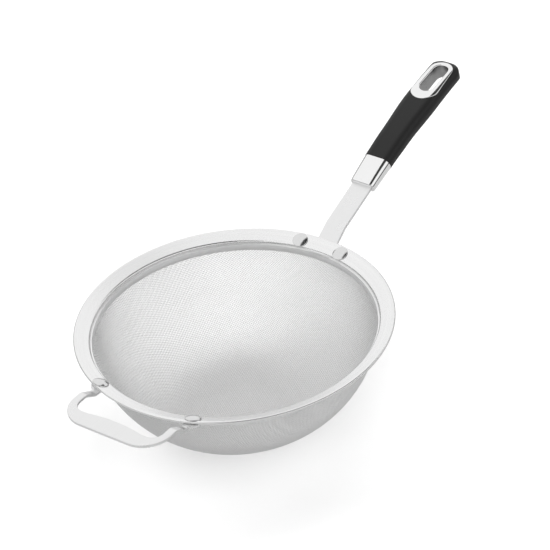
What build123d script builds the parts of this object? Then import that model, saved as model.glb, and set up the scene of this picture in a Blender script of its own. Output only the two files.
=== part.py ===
"""Long-handled wire-mesh strainer with a riveted helper handle.

The bowl stands on a small pressed flat at Z = 0 and opens upwards.
+Z is up, and +X runs from the bowl's axis along the long handle.
"""
import os
from math import asin, cos, degrees, pi, radians, sin, tan

from build123d import *

# Bowl of woven wire, drawn as a sheet as thick as two crossing wires
MOUTH_R = 107.9
MESH_T = 0.9
BASE_ARC_R = 62.0
WALL_ARC_R = 95.4
KNUCKLE_ANGLE = 35.0
WALL_TOP_ANGLE = 79.0
COLLAR_H = 4.2

# Openings of the bowl: rows of windows that stand for the far finer gaps of the weave
WINDOW_ROWS = 5
WINDOW_FIRST_AT = 11.0
WINDOW_PITCH = 25.6
WINDOW_RIB = 10.0

# Rim: one stamped sheet with a neck, a sloped flange and an edge curled under
SHEET_T = 0.9
NECK_H = 7.0
NECK_BEND_R = 1.6
FLANGE_SLOPE = 21.0
FLANGE_REACH = 12.1
CURL_R = 1.3
CURL_TURN = 285.0

# Band that pinches the mesh against the neck
BAND_T = 0.7
BAND_LIP_T = 0.6
BAND_DROP = 0.35

# Feet of both handles: under the flange, level below the curled edge
PLATE_T = 2.2
CURL_GAP = 0.15
FOOT_EDGE_GAP = 0.9

# Rivets
SHANK_R = 2.6
HEAD_R = 6.1
HEAD_EDGE_H = 0.7
HEAD_DOME_H = 1.5
TAIL_R = 4.2
TAIL_H = 1.3
LOBE_R = 7.2
LONG_RIVET_INSET = 7.4
LONG_RIVET_HALF = 18.7
HELPER_RIVET_INSET = 5.6
HELPER_RIVET_TO_ARM = 1.9

# Helper handle
HELPER_ARM_OUT = 44.2
HELPER_ARM_W = 6.2
HELPER_REACH = 36.0
HELPER_BAR_W = 12.8
HELPER_SWELL = 2.4
HELPER_SWELL_HALF = 24.0
HELPER_OUT_CORNER_R = 22.0
HELPER_IN_CORNER_R = 8.5
HELPER_RISE_INSET = 3.4
HELPER_RISE_RUN = 10.5
HELPER_RISE_H = 6.0
HELPER_BEND_R = 5.0
HELPER_ROOT_FILLET_R = 3.0

# Long handle's tang
TANG_W = 17.6
TANG_RISE_OUTSET = 0.6
TANG_KNEE_RUN = 12.5
TANG_KNEE_SLOPE = 33.0
TANG_SLOPE = 20.3
TANG_BEND_R = 9.0
TANG_ROOT_FILLET_R = 5.0
STUB_W = 12.0
STUB_LENGTH = 62.0
STUB_HOLE_R = 2.5
STUB_HOLE_PITCH = 26.0
STUB_HOLE_START = 22.0
STUB_SHOULDER = 6.0

# Handle line: an arc that starts at the ferrule's mouth
MOUTH_OUTSET = 51.0
HANDLE_ARC_R = 565.0
HANDLE_START_ANGLE = 23.2
FERRULE_L = 24.6
GRIP_END = 133.8

# Handle sections: widths and depths across the line
FERRULE_MOUTH_W = 21.6
FERRULE_MOUTH_D = 10.0
FERRULE_END_W = 23.4
FERRULE_END_D = 12.6
FERRULE_WALL = 0.9
FERRULE_FRONT_T = 1.4
FERRULE_EDGE_R = 1.0
TANG_SLOT_GAP = 0.15
GRIP_STEP = 0.2
GRIP_W = 27.6
GRIP_D = 15.0
GRIP_WAIST_W = 24.8
GRIP_WAIST_D = 14.0
GRIP_TAIL_W = 27.4
GRIP_TAIL_D = 13.4
GRIP_TIP_D = 11.0
GRIP_TIP_CORNER_R = 11.0
GRIP_TIP_EASE = 0.05
GRIP_WAIST_AT = 50.0
GRIP_BELLY_AT = 88.0
GRIP_TAIL_AT = 122.0
GRIP_SECTIONS = 12
SPIGOT_START = 8.0
SKIN_T = 1.9
CORNER_SHARE = 0.46

# Hang slot and its chrome liner
SLOT_AT = 111.4
SLOT_L = 31.0
SLOT_W = 12.4
LINER_WALL = 1.3
LINER_LIP_L = 43.8
LINER_LIP_FOOT_W = 23.2
LINER_LIP_TIP_W = 20.4
LINER_LIP_T = 1.3
LINER_PROUD = 0.25
LINER_LIP_SHIFT = -2.5
LINER_BACK_PROUD = 0.1

# One overrun serves every cut
OVER = 5.0

os.makedirs("parts", exist_ok=True)


def export(part, label):
    part.label = label
    export_step(part, f"parts/{label}.step")
    solids = part.solids()
    box = part.bounding_box()
    print(f"{label:24s} solids {len(solids)} volume {part.volume:10.1f} "
          f"x {box.min.X:8.2f} {box.max.X:8.2f} y {box.min.Y:8.2f} {box.max.Y:8.2f} "
          f"z {box.min.Z:8.2f} {box.max.Z:8.2f} valid {part.is_valid}")


def polar(radius, angle):
    return radius * cos(radians(angle)), radius * sin(radians(angle))


# Bowl heights and radii that the rest hangs from
knuckle_rise = BASE_ARC_R * (1 - cos(radians(KNUCKLE_ANGLE)))
knuckle_run = BASE_ARC_R * sin(radians(KNUCKLE_ANGLE))
wall_rise = WALL_ARC_R * (cos(radians(KNUCKLE_ANGLE)) - cos(radians(WALL_TOP_ANGLE)))
wall_run = WALL_ARC_R * (sin(radians(WALL_TOP_ANGLE)) - sin(radians(KNUCKLE_ANGLE)))
base_flat_r = MOUTH_R - wall_run - knuckle_run
collar_z = knuckle_rise + wall_rise
collar_top_z = collar_z + COLLAR_H

# Rim heights: the neck's foot is level with the collar's foot
flange_tan = tan(radians(FLANGE_SLOPE))
flange_cos = cos(radians(FLANGE_SLOPE))
neck_mid_r = MOUTH_R + SHEET_T / 2
neck_foot_z = collar_z
neck_corner_z = neck_foot_z + NECK_H
curl_mid_r = CURL_R - SHEET_T / 2
rim_r = MOUTH_R + FLANGE_REACH
curl_r = rim_r - CURL_R
curl_dx, curl_dz = polar(curl_mid_r, 90 + FLANGE_SLOPE)
curl_z = neck_corner_z + (curl_r + curl_dx - neck_mid_r) * flange_tan - curl_dz


def flange_top(r):
    """Height of the flange's top face at radius r."""
    return curl_z + CURL_R / flange_cos + (r - curl_r) * flange_tan


def flange_under(r):
    """Height of the flange's underside at radius r."""
    return flange_top(r) - SHEET_T / flange_cos


# Mesh basket: collar, drawn wall, knuckle and pressed flat, one thickness throughout
wall_cx = MOUTH_R - WALL_ARC_R * sin(radians(WALL_TOP_ANGLE))
wall_cz = collar_z + WALL_ARC_R * cos(radians(WALL_TOP_ANGLE))
knuckle_cx = base_flat_r
knuckle_cz = BASE_ARC_R


def bowl_line(depth):
    """Points of the bowl's section at a given depth below its outer face."""
    collar_r = MOUTH_R - depth
    top_angle = degrees(asin((collar_r - wall_cx) / (WALL_ARC_R - depth)))
    wx, wz = polar(WALL_ARC_R - depth, top_angle - 90)
    mx, mz = polar(WALL_ARC_R - depth, (top_angle + KNUCKLE_ANGLE) / 2 - 90)
    kx, kz = polar(WALL_ARC_R - depth, KNUCKLE_ANGLE - 90)
    nx, nz = polar(BASE_ARC_R - depth, KNUCKLE_ANGLE / 2 - 90)
    return [
        (collar_r, collar_top_z),
        (wall_cx + wx, wall_cz + wz),
        (wall_cx + mx, wall_cz + mz),
        (wall_cx + kx, wall_cz + kz),
        (knuckle_cx + nx, knuckle_cz + nz),
        (knuckle_cx, depth),
        (0, depth),
    ]


outer_pts = bowl_line(0)
inner_pts = bowl_line(MESH_T)
with BuildPart() as mesh_basket:
    with BuildSketch(Plane.XZ) as bowl_section:
        with BuildLine() as bowl_edges:
            Line(outer_pts[0], outer_pts[1])
            ThreePointArc(outer_pts[1], outer_pts[2], outer_pts[3])
            ThreePointArc(outer_pts[3], outer_pts[4], outer_pts[5])
            Line(outer_pts[5], outer_pts[6])
            Line(outer_pts[6], inner_pts[6])
            Line(inner_pts[6], inner_pts[5])
            ThreePointArc(inner_pts[5], inner_pts[4], inner_pts[3])
            ThreePointArc(inner_pts[3], inner_pts[2], inner_pts[1])
            Line(inner_pts[1], inner_pts[0])
            Line(inner_pts[0], outer_pts[0])
        make_face()
    revolve(axis=Axis.Z)



def bowl_place(s):
    """Radius, height and slope of the bowl's outer face at a length s from its centre."""
    knuckle_l = BASE_ARC_R * radians(KNUCKLE_ANGLE)
    if s <= base_flat_r:
        return s, 0, 0
    if s <= base_flat_r + knuckle_l:
        slope = degrees((s - base_flat_r) / BASE_ARC_R)
        x, z = polar(BASE_ARC_R, slope - 90)
        return knuckle_cx + x, knuckle_cz + z, slope
    slope = KNUCKLE_ANGLE + degrees((s - base_flat_r - knuckle_l) / WALL_ARC_R)
    x, z = polar(WALL_ARC_R, slope - 90)
    return wall_cx + x, wall_cz + z, slope


# Windows: each row is a ring of wedges square to the bowl's wall, with even ribs between
with BuildPart() as windows:
    for row in range(WINDOW_ROWS):
        r, z, slope = bowl_place(WINDOW_FIRST_AT + (row + 1 / 2) * WINDOW_PITCH)
        reach = (WINDOW_PITCH - WINDOW_RIB) / 2
        count = round(2 * pi * r / WINDOW_PITCH)
        inner_half, outer_half = [
            (r + side * reach * cos(radians(slope))) * sin(pi / count) - WINDOW_RIB / 2
            for side in (-1, 1)]
        for step in range(count):
            turn = 360 / count * (step + row / 2)
            x, y = polar(r, turn)
            nx, ny = polar(sin(radians(slope)), turn)
            plane = Plane(origin=(x, y, z), x_dir=(-y, x, 0),
                          z_dir=(nx, ny, -cos(radians(slope))))
            with BuildSketch(plane):
                with BuildLine():
                    Polyline((-inner_half, -reach), (inner_half, -reach),
                             (outer_half, reach), (-outer_half, reach), close=True)
                make_face()
            extrude(amount=OVER, both=True)
with BuildPart() as pierced_basket:
    add(mesh_basket.part)
    add(windows.part, mode=Mode.SUBTRACT)

# Places that follow the rim's edge
long_rivet_r = rim_r - LONG_RIVET_INSET
helper_rivet_r = rim_r - HELPER_RIVET_INSET
helper_rivet_half = HELPER_ARM_OUT - HELPER_RIVET_TO_ARM
helper_end_x = rim_r + HELPER_REACH
helper_rise_start = rim_r - HELPER_RISE_INSET
tang_rise_start = rim_r + TANG_RISE_OUTSET
mouth_x = rim_r + MOUTH_OUTSET

# Rivet places: a plane on the flange's top face, square to it
long_angle = degrees(asin(LONG_RIVET_HALF / long_rivet_r))
helper_angle = degrees(asin(helper_rivet_half / helper_rivet_r))


def rivet_plane(radius, angle):
    x, y = polar(radius, angle)
    tilt = 90 + FLANGE_SLOPE
    nx, ny = polar(cos(radians(tilt)), angle)
    return Plane(origin=(x, y, flange_top(radius)), x_dir=(-y, x, 0),
                 z_dir=(nx, ny, sin(radians(tilt))))


long_planes = [rivet_plane(long_rivet_r, a) for a in (long_angle, -long_angle)]
helper_planes = [rivet_plane(helper_rivet_r, 180 + a) for a in (helper_angle, -helper_angle)]

# Rim: the sheet's middle line, traced to its thickness and turned round the axis
neck_corner = (neck_mid_r, neck_corner_z)
curl_start = (curl_r + curl_dx, curl_z + curl_dz)
with BuildPart() as rim_flange:
    with BuildSketch(Plane.XZ) as rim_section:
        with BuildLine() as rim_line:
            neck = Line((neck_mid_r, neck_foot_z), neck_corner)
            slope = Line(neck_corner, curl_start)
            fillet(rim_line.vertices().sort_by_distance(neck_corner)[0], NECK_BEND_R)
            CenterArc((curl_r, curl_z), curl_mid_r, 90 + FLANGE_SLOPE, -CURL_TURN)
        trace(line_width=SHEET_T)
    revolve(axis=Axis.Z)
    for plane in long_planes + helper_planes:
        with BuildSketch(plane.offset(OVER)):
            Circle(SHANK_R)
        extrude(amount=-OVER * 2, mode=Mode.SUBTRACT)

# Clamp band: pinches the collar and laps over its cut edge
band_out_r = MOUTH_R - MESH_T
band_in_r = band_out_r - BAND_T
band_foot_z = collar_z - BAND_DROP
band_top_z = collar_top_z + BAND_LIP_T
with BuildPart() as clamp_band:
    with BuildSketch(Plane.XZ) as band_section:
        with BuildLine():
            Polyline(
                (band_in_r, band_foot_z),
                (band_out_r, band_foot_z),
                (band_out_r, collar_top_z),
                (MOUTH_R, collar_top_z),
                (MOUTH_R, band_top_z),
                (band_in_r, band_top_z),
                close=True,
            )
        make_face()
        fillet(band_section.vertices().sort_by(Axis.X)[:2], BAND_T / 3)
    revolve(axis=Axis.Z)
    add(mesh_basket.part, mode=Mode.SUBTRACT)

# Foot ring: the sloped part of both handles' feet, flat to the flange
level_z = curl_z - CURL_R - CURL_GAP
foot_in_r = MOUTH_R + SHEET_T + FOOT_EDGE_GAP
meet_r = curl_r + (level_z + SHEET_T / flange_cos - curl_z - CURL_R / flange_cos) / flange_tan
foot_low_z = flange_under(foot_in_r) - PLATE_T
with BuildPart() as foot_ring:
    with BuildSketch(Plane.XZ):
        with BuildLine():
            Polyline(
                (foot_in_r, flange_under(foot_in_r)),
                (meet_r, level_z),
                (meet_r, level_z - PLATE_T),
                (foot_in_r, foot_low_z),
                close=True,
            )
        make_face()
    revolve(axis=Axis.Z)

# Room that the flange and neck take up, cut out of both feet
with BuildPart() as rim_room:
    with BuildSketch(Plane.XZ):
        with BuildLine():
            Polyline(
                (0, foot_low_z - OVER),
                (foot_in_r, foot_low_z - OVER),
                (foot_in_r, flange_under(foot_in_r)),
                (meet_r, level_z),
                (meet_r, level_z + OVER),
                (0, level_z + OVER),
                close=True,
            )
        make_face()
    revolve(axis=Axis.Z)


def bent_plate(points, radius, half_width):
    """Plate of one thickness whose top face follows the points in the XZ plane."""
    with BuildPart() as plate:
        with BuildSketch(Plane.XZ):
            with BuildLine() as top:
                Polyline(*points)
                for corner in points[1:-1]:
                    fillet(top.vertices().sort_by_distance(corner)[0], radius)
                offset(amount=PLATE_T, side=Side.RIGHT, closed=True)
            make_face()
        extrude(amount=half_width, both=True)
    return plate.part


def foot_depth(radius):
    """Distance along a rivet from the flange's top face to the foot's underside."""
    drop = flange_top(radius) - min(flange_under(radius), level_z) + PLATE_T
    return drop * flange_cos


# Long handle's line: straight tang, then the arc that ferrule and grip follow
knee_x = tang_rise_start + TANG_KNEE_RUN
knee_z = level_z + TANG_KNEE_RUN * tan(radians(TANG_KNEE_SLOPE))
tang_tan = tan(radians(TANG_SLOPE))
tang_cos = cos(radians(TANG_SLOPE))
mouth_z = knee_z + (mouth_x - knee_x) * tang_tan - PLATE_T / 2 / tang_cos


def handle_plane(s):
    """Plane across the handle at a distance s along its line: x is across, y is up."""
    angle = radians(HANDLE_START_ANGLE) - s / HANDLE_ARC_R
    start = radians(HANDLE_START_ANGLE)
    x = mouth_x + HANDLE_ARC_R * (sin(start) - sin(angle))
    z = mouth_z + HANDLE_ARC_R * (cos(angle) - cos(start))
    return Plane(origin=(x, 0, z), x_dir=(0, 1, 0), z_dir=(cos(angle), 0, sin(angle)))


def handle_loft(stations, depth):
    """Smooth body through rounded sections, each drawn in by the same depth."""
    with BuildPart() as body:
        for s, width, height in stations:
            w = width - 2 * depth
            h = height - 2 * depth
            with BuildSketch(handle_plane(s)):
                RectangleRounded(w, h, h * CORNER_SHARE)
        loft()
    return body.part


# Tang: T-shaped foot under the flange, knee, straight run and a stub inside the grip
stub_end_x = mouth_x + STUB_LENGTH * tang_cos
stub_end_z = knee_z + (stub_end_x + OVER - knee_x) * tang_tan
tang_blank = bent_plate(
    [
        (MOUTH_R - LOBE_R, level_z),
        (tang_rise_start, level_z),
        (knee_x, knee_z),
        (stub_end_x + OVER, stub_end_z),
    ],
    TANG_BEND_R,
    LONG_RIVET_HALF * 2,
)
long_rivet_x = long_rivet_r * cos(radians(long_angle))
shoulder_x = mouth_x + STUB_SHOULDER
with BuildPart() as long_handle_tang:
    add(tang_blank)
    add(foot_ring.part)
    add(rim_room.part, mode=Mode.SUBTRACT)
    with BuildSketch(Plane.XY) as tang_plan:
        with Locations((long_rivet_x, LONG_RIVET_HALF), (long_rivet_x, -LONG_RIVET_HALF)):
            Circle(LOBE_R)
        with Locations((long_rivet_x, 0)):
            Rectangle(LOBE_R * 2, LONG_RIVET_HALF * 2)
            Rectangle(shoulder_x - long_rivet_x, TANG_W, align=(Align.MIN, Align.CENTER))
        root_corners = [v for v in tang_plan.vertices()
                        if abs(v.X - long_rivet_x - LOBE_R) < CURL_GAP
                        and abs(abs(v.Y) - TANG_W / 2) < CURL_GAP]
        fillet(root_corners, TANG_ROOT_FILLET_R)
        with Locations((shoulder_x, 0)):
            Rectangle(stub_end_x - shoulder_x, STUB_W, align=(Align.MIN, Align.CENTER))
        tips = tang_plan.vertices().group_by(Axis.X)[-1]
        fillet(tips, STUB_W / 3)
    extrude(amount=mouth_x, mode=Mode.INTERSECT)
    for plane in long_planes:
        with BuildSketch(plane.offset(OVER)):
            Circle(SHANK_R)
        extrude(amount=-OVER * 3, mode=Mode.SUBTRACT)
    for step in (0, 1):
        x = mouth_x + STUB_HOLE_START + step * STUB_HOLE_PITCH
        z = knee_z + (x - knee_x) * tang_tan
        hole_plane = Plane(origin=(x, 0, z), z_dir=(-tang_tan, 0, 1))
        with BuildSketch(hole_plane.offset(OVER)):
            Circle(STUB_HOLE_R)
        extrude(amount=-OVER * 2, mode=Mode.SUBTRACT)

# Helper handle: lobed tabs under the flange, arms that rise past the rim, and a bar
helper_rivet_x = helper_rivet_r * cos(radians(helper_angle))
helper_top_z = level_z + HELPER_RISE_H
helper_rise_end = helper_rise_start + HELPER_RISE_RUN
arm_in = HELPER_ARM_OUT - HELPER_ARM_W
bar_in = helper_end_x - HELPER_BAR_W
helper_blank = bent_plate(
    [
        (-helper_end_x - OVER, helper_top_z),
        (-helper_rise_end, helper_top_z),
        (-helper_rise_start, level_z),
        (LOBE_R - MOUTH_R, level_z),
    ],
    HELPER_BEND_R,
    HELPER_ARM_OUT + OVER,
)
with BuildPart() as helper_handle:
    add(helper_blank)
    add(foot_ring.part)
    add(rim_room.part, mode=Mode.SUBTRACT)
    with BuildSketch(Plane.XY) as helper_plan:
        with Locations((-helper_end_x, 0)):
            Rectangle(helper_end_x - helper_rivet_x, HELPER_ARM_OUT * 2,
                      align=(Align.MIN, Align.CENTER))
        fillet(helper_plan.vertices().group_by(Axis.X)[0], HELPER_OUT_CORNER_R)
        with Locations((-bar_in, 0)):
            Rectangle(helper_end_x, arm_in * 2, align=(Align.MIN, Align.CENTER),
                      mode=Mode.SUBTRACT)
        corners = [v for v in helper_plan.vertices()
                   if abs(v.X + bar_in) < CURL_GAP and abs(abs(v.Y) - arm_in) < CURL_GAP]
        fillet(corners, HELPER_IN_CORNER_R)
        with BuildLine():
            ThreePointArc((-bar_in, HELPER_SWELL_HALF), (HELPER_SWELL - bar_in, 0),
                          (-bar_in, -HELPER_SWELL_HALF))
            Line((-bar_in, -HELPER_SWELL_HALF), (-bar_in, HELPER_SWELL_HALF))
        make_face()
        with Locations((-helper_rivet_x, helper_rivet_half), (-helper_rivet_x, -helper_rivet_half)):
            Circle(LOBE_R)
        joins = [v for v in helper_plan.vertices()
                 if -helper_rise_start < v.X < -helper_rivet_x - LOBE_R / 3
                 and abs(abs(v.Y) - helper_rivet_half) < LOBE_R]
        fillet(joins, HELPER_ROOT_FILLET_R)
    extrude(amount=helper_end_x, mode=Mode.INTERSECT)
    for plane in helper_planes:
        with BuildSketch(plane.offset(OVER)):
            Circle(SHANK_R)
        extrude(amount=-OVER * 3, mode=Mode.SUBTRACT)

# Rivets: domed head on the flange, shank, and a peened tail under the foot


def cap_middle(radius, height):
    """Point half way along the arc of a cap, from its rim to its crown."""
    ball = (radius * radius + height * height) / (2 * height)
    half = asin(radius / ball) / 2
    return ball * sin(half), height - ball * (1 - cos(half))


def rivet(plane, depth, others):
    """One rivet, turned about its own axis and fitted to what it clamps."""
    head_x, head_y = cap_middle(HEAD_R, HEAD_DOME_H)
    tail_x, tail_y = cap_middle(TAIL_R, TAIL_H)
    crown = HEAD_EDGE_H + HEAD_DOME_H
    flat = Plane(origin=plane.origin, x_dir=plane.x_dir, z_dir=-plane.y_dir)
    with BuildPart() as one:
        with BuildSketch(flat):
            with BuildLine():
                Line((0, crown), (0, -depth - TAIL_H))
                ThreePointArc((0, -depth - TAIL_H), (tail_x, -depth - tail_y), (TAIL_R, -depth))
                Line((TAIL_R, -depth), (SHANK_R, -depth))
                Line((SHANK_R, -depth), (SHANK_R, 0))
                Line((SHANK_R, 0), (HEAD_R, 0))
                Line((HEAD_R, 0), (HEAD_R, HEAD_EDGE_H))
                ThreePointArc((HEAD_R, HEAD_EDGE_H), (head_x, HEAD_EDGE_H + head_y), (0, crown))
            make_face()
        revolve(axis=Axis(plane.origin, plane.z_dir))
        for other in others:
            add(other, mode=Mode.SUBTRACT)
    return one.part


long_depth = foot_depth(long_rivet_r)
helper_depth = foot_depth(helper_rivet_r)
with BuildPart() as long_handle_rivets:
    for plane in long_planes:
        add(rivet(plane, long_depth, [rim_flange.part, long_handle_tang.part]))
with BuildPart() as helper_rivets:
    for plane in helper_planes:
        add(rivet(plane, helper_depth, [rim_flange.part, helper_handle.part]))

# Ferrule: tapered metal sleeve with a front wall that the tang passes through
ferrule_ends = [
    (0, FERRULE_MOUTH_W, FERRULE_MOUTH_D),
    (FERRULE_L, FERRULE_END_W, FERRULE_END_D),
]
with BuildPart() as ferrule_room:
    add(handle_loft(ferrule_ends, FERRULE_WALL))
    split(bisect_by=handle_plane(FERRULE_FRONT_T), keep=Keep.TOP)
with BuildPart() as ferrule:
    add(handle_loft(ferrule_ends, 0))
    fillet(ferrule.faces().sort_by(Axis.X)[0].edges(), FERRULE_EDGE_R)
    add(ferrule_room.part, mode=Mode.SUBTRACT)
    with BuildSketch(handle_plane(0).offset(-FERRULE_FRONT_T)):
        Rectangle(TANG_W + 2 * TANG_SLOT_GAP, PLATE_T + 2 * TANG_SLOT_GAP)
    extrude(amount=FERRULE_FRONT_T * 3, mode=Mode.SUBTRACT)

# Hang slot: a stadium square to the handle line, its liner's wall and its lip
grip_sizes = [
    (FERRULE_L, FERRULE_END_W + 2 * GRIP_STEP, FERRULE_END_D + 2 * GRIP_STEP),
    (GRIP_WAIST_AT, GRIP_WAIST_W, GRIP_WAIST_D),
    (GRIP_BELLY_AT, GRIP_W, GRIP_D),
    (GRIP_TAIL_AT, GRIP_TAIL_W, GRIP_TAIL_D),
    (GRIP_END, GRIP_TAIL_W, GRIP_TIP_D),
]


def grip_section(s):
    """Width and depth of the grip at s, eased between its named sizes."""
    for (s0, w0, d0), (s1, w1, d1) in zip(grip_sizes, grip_sizes[1:]):
        if s0 <= s <= s1:
            share = (1 - cos(radians(180) * (s - s0) / (s1 - s0))) / 2
            return s, w0 + (w1 - w0) * share, d0 + (d1 - d0) * share
    return grip_sizes[-1]


grip_pitch = (GRIP_END - FERRULE_L) / GRIP_SECTIONS
grip_stations = [grip_section(FERRULE_L + i * grip_pitch) for i in range(GRIP_SECTIONS + 1)]
tip = handle_plane(GRIP_END)
tip_plan = Plane(origin=tip.origin, x_dir=tip.z_dir, z_dir=tip.y_dir)


def grip_body(depth):
    """Grip's form drawn in by a depth, with its tip's corners rounded in plan."""
    corner_r = GRIP_TIP_CORNER_R - depth
    width = GRIP_TAIL_W - 2 * depth + 2 * GRIP_TIP_EASE
    with BuildPart() as body:
        add(handle_loft(grip_stations, depth))
        with BuildSketch(tip_plan):
            with Locations((-depth - corner_r, 0)):
                Rectangle(corner_r + depth + OVER, width + 2 * OVER,
                          align=(Align.MIN, Align.CENTER))
            with Locations((-depth, 0)):
                RectangleRounded(corner_r * 3, width, corner_r,
                                 align=(Align.MAX, Align.CENTER), mode=Mode.SUBTRACT)
        extrude(amount=GRIP_D, both=True, mode=Mode.SUBTRACT)
    return body.part


slot_across = handle_plane(SLOT_AT)
slot_plane = Plane(origin=slot_across.origin, x_dir=slot_across.z_dir, z_dir=slot_across.y_dir)
with BuildPart() as slot_room:
    with BuildSketch(slot_plane):
        SlotOverall(SLOT_L, SLOT_W)
    extrude(amount=GRIP_D, both=True)
with BuildPart() as liner_wall:
    with BuildSketch(slot_plane):
        SlotOverall(SLOT_L + 2 * LINER_WALL, SLOT_W + 2 * LINER_WALL)
    extrude(amount=GRIP_D, both=True)
    add(handle_loft(grip_stations, -LINER_BACK_PROUD), mode=Mode.INTERSECT)
with BuildPart() as liner_lip:
    with BuildSketch(slot_plane):
        with Locations((LINER_LIP_SHIFT - (LINER_LIP_L - LINER_LIP_FOOT_W) / 2, 0)):
            Circle(LINER_LIP_FOOT_W / 2)
        with Locations((LINER_LIP_SHIFT + (LINER_LIP_L - LINER_LIP_TIP_W) / 2, 0)):
            Circle(LINER_LIP_TIP_W / 2)
        make_hull()
    extrude(amount=GRIP_D)
    add(handle_loft(grip_stations, -LINER_PROUD), mode=Mode.INTERSECT)
    add(handle_loft(grip_stations, LINER_LIP_T - LINER_PROUD), mode=Mode.SUBTRACT)
with BuildPart() as liner_blank:
    add(liner_wall.part)
    add(liner_lip.part)
with BuildPart() as hang_liner:
    add(liner_blank.part)
    add(slot_room.part, mode=Mode.SUBTRACT)

# Grip core: stiff body moulded round the tang, with a spigot inside the ferrule
with BuildPart() as grip_core:
    add(grip_body(SKIN_T))
    add(handle_loft(ferrule_ends, FERRULE_WALL))
    split(bisect_by=handle_plane(SPIGOT_START), keep=Keep.TOP)
    add(long_handle_tang.part, mode=Mode.SUBTRACT)
    add(liner_blank.part, mode=Mode.SUBTRACT)
    add(slot_room.part, mode=Mode.SUBTRACT)

# Grip skin: soft cover, closed over the tip
with BuildPart() as grip_skin:
    add(grip_body(0))
    add(grip_body(SKIN_T), mode=Mode.SUBTRACT)
    add(liner_blank.part, mode=Mode.SUBTRACT)
    add(slot_room.part, mode=Mode.SUBTRACT)

print("mouth", MOUTH_R, "rim", rim_r, "flat", base_flat_r, "curl z", curl_z, "level", level_z)
export(pierced_basket.part, "mesh_basket")
export(rim_flange.part, "rim_flange")
export(clamp_band.part, "clamp_band")
export(long_handle_tang.part, "long_handle_tang")
export(helper_handle.part, "helper_handle")
export(long_handle_rivets.part, "long_handle_rivets")
export(helper_rivets.part, "helper_rivets")
export(ferrule.part, "ferrule")
export(grip_core.part, "grip_core")
export(grip_skin.part, "grip_skin")
export(hang_liner.part, "hang_liner")
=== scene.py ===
"""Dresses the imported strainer: woven bowl, pressed rim, handles, grip and hang loop.

Everything is in metres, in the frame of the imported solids: +Z is the bowl's axis,
+X runs along the long handle, and Z = 0 is the flat that the bowl stands on.
"""
from math import cos, radians, sin, sqrt, tan

import bmesh
import bpy
import numpy as np
from mathutils import Matrix, Vector


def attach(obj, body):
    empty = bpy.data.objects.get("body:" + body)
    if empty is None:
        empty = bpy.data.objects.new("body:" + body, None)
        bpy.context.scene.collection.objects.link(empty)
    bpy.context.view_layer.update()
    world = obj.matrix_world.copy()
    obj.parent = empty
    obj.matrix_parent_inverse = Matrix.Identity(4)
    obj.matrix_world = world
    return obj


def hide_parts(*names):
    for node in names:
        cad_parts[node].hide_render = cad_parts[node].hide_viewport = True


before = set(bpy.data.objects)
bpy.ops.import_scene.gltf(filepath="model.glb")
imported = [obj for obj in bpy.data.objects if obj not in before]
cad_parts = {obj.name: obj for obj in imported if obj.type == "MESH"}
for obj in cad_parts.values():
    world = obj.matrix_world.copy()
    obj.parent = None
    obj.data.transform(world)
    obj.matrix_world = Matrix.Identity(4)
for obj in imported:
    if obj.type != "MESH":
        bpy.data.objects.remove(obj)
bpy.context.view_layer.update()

bl_info = {
    "name": "Mesh Strainer",
    "version": (1, 0, 0),
    "blender": (4, 5, 0),
    "location": "3D View > Sidebar > Strainer",
    "description": "Builds the visible surfaces of a wire-mesh strainer around its packed solids",
    "category": "Add Mesh",
}

# Sizes shared with the solids, in metres
MOUTH_R = 0.1079
MESH_T = 0.0009
BASE_ARC_R = 0.0620
WALL_ARC_R = 0.0954
KNUCKLE_ANGLE = radians(35.0)
WALL_TOP_ANGLE = radians(79.0)
COLLAR_H = 0.0042
SHEET_T = 0.0009
NECK_H = 0.0070
NECK_BEND_R = 0.0016
FLANGE_SLOPE = radians(21.0)
FLANGE_REACH = 0.0121
CURL_R = 0.0013
CURL_TURN = radians(285.0)
BAND_T = 0.0007
BAND_LIP_T = 0.0006
BAND_DROP = 0.00035
PLATE_T = 0.0022
CURL_GAP = 0.00015
FOOT_EDGE_GAP = 0.0009
SHANK_R = 0.0026
HEAD_R = 0.0061
HEAD_EDGE_H = 0.0007
HEAD_DOME_H = 0.0015
TAIL_R = 0.0042
TAIL_H = 0.0013
LOBE_R = 0.0072
LONG_RIVET_INSET = 0.0074
LONG_RIVET_HALF = 0.0187
HELPER_RIVET_INSET = 0.0056
HELPER_RIVET_TO_ARM = 0.0019
HELPER_ARM_OUT = 0.0442
HELPER_ARM_W = 0.0062
HELPER_REACH = 0.0360
HELPER_BAR_W = 0.0128
HELPER_SWELL = 0.0024
HELPER_SWELL_HALF = 0.0240
HELPER_OUT_CORNER_R = 0.0220
HELPER_IN_CORNER_R = 0.0085
HELPER_RISE_INSET = 0.0034
HELPER_RISE_RUN = 0.0105
HELPER_RISE_H = 0.0060
HELPER_BEND_R = 0.0050
HELPER_ROOT_FILLET_R = 0.0030
TANG_W = 0.0176
TANG_RISE_OUTSET = 0.0006
TANG_KNEE_RUN = 0.0125
TANG_KNEE_SLOPE = radians(33.0)
TANG_SLOPE = radians(20.3)
TANG_BEND_R = 0.0090
TANG_ROOT_FILLET_R = 0.0050
MOUTH_OUTSET = 0.0510
HANDLE_ARC_R = 0.5650
HANDLE_START_ANGLE = radians(23.2)
FERRULE_L = 0.0246
GRIP_END = 0.1338
FERRULE_MOUTH_W = 0.0216
FERRULE_MOUTH_D = 0.0100
FERRULE_END_W = 0.0234
FERRULE_END_D = 0.0126
FERRULE_WALL = 0.0009
FERRULE_FRONT_T = 0.0014
FERRULE_EDGE_R = 0.0010
TANG_SLOT_GAP = 0.00015
GRIP_STEP = 0.0002
GRIP_W = 0.0276
GRIP_D = 0.0150
GRIP_WAIST_W = 0.0248
GRIP_WAIST_D = 0.0140
GRIP_TAIL_W = 0.0274
GRIP_TAIL_D = 0.0134
GRIP_TIP_D = 0.0110
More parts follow.
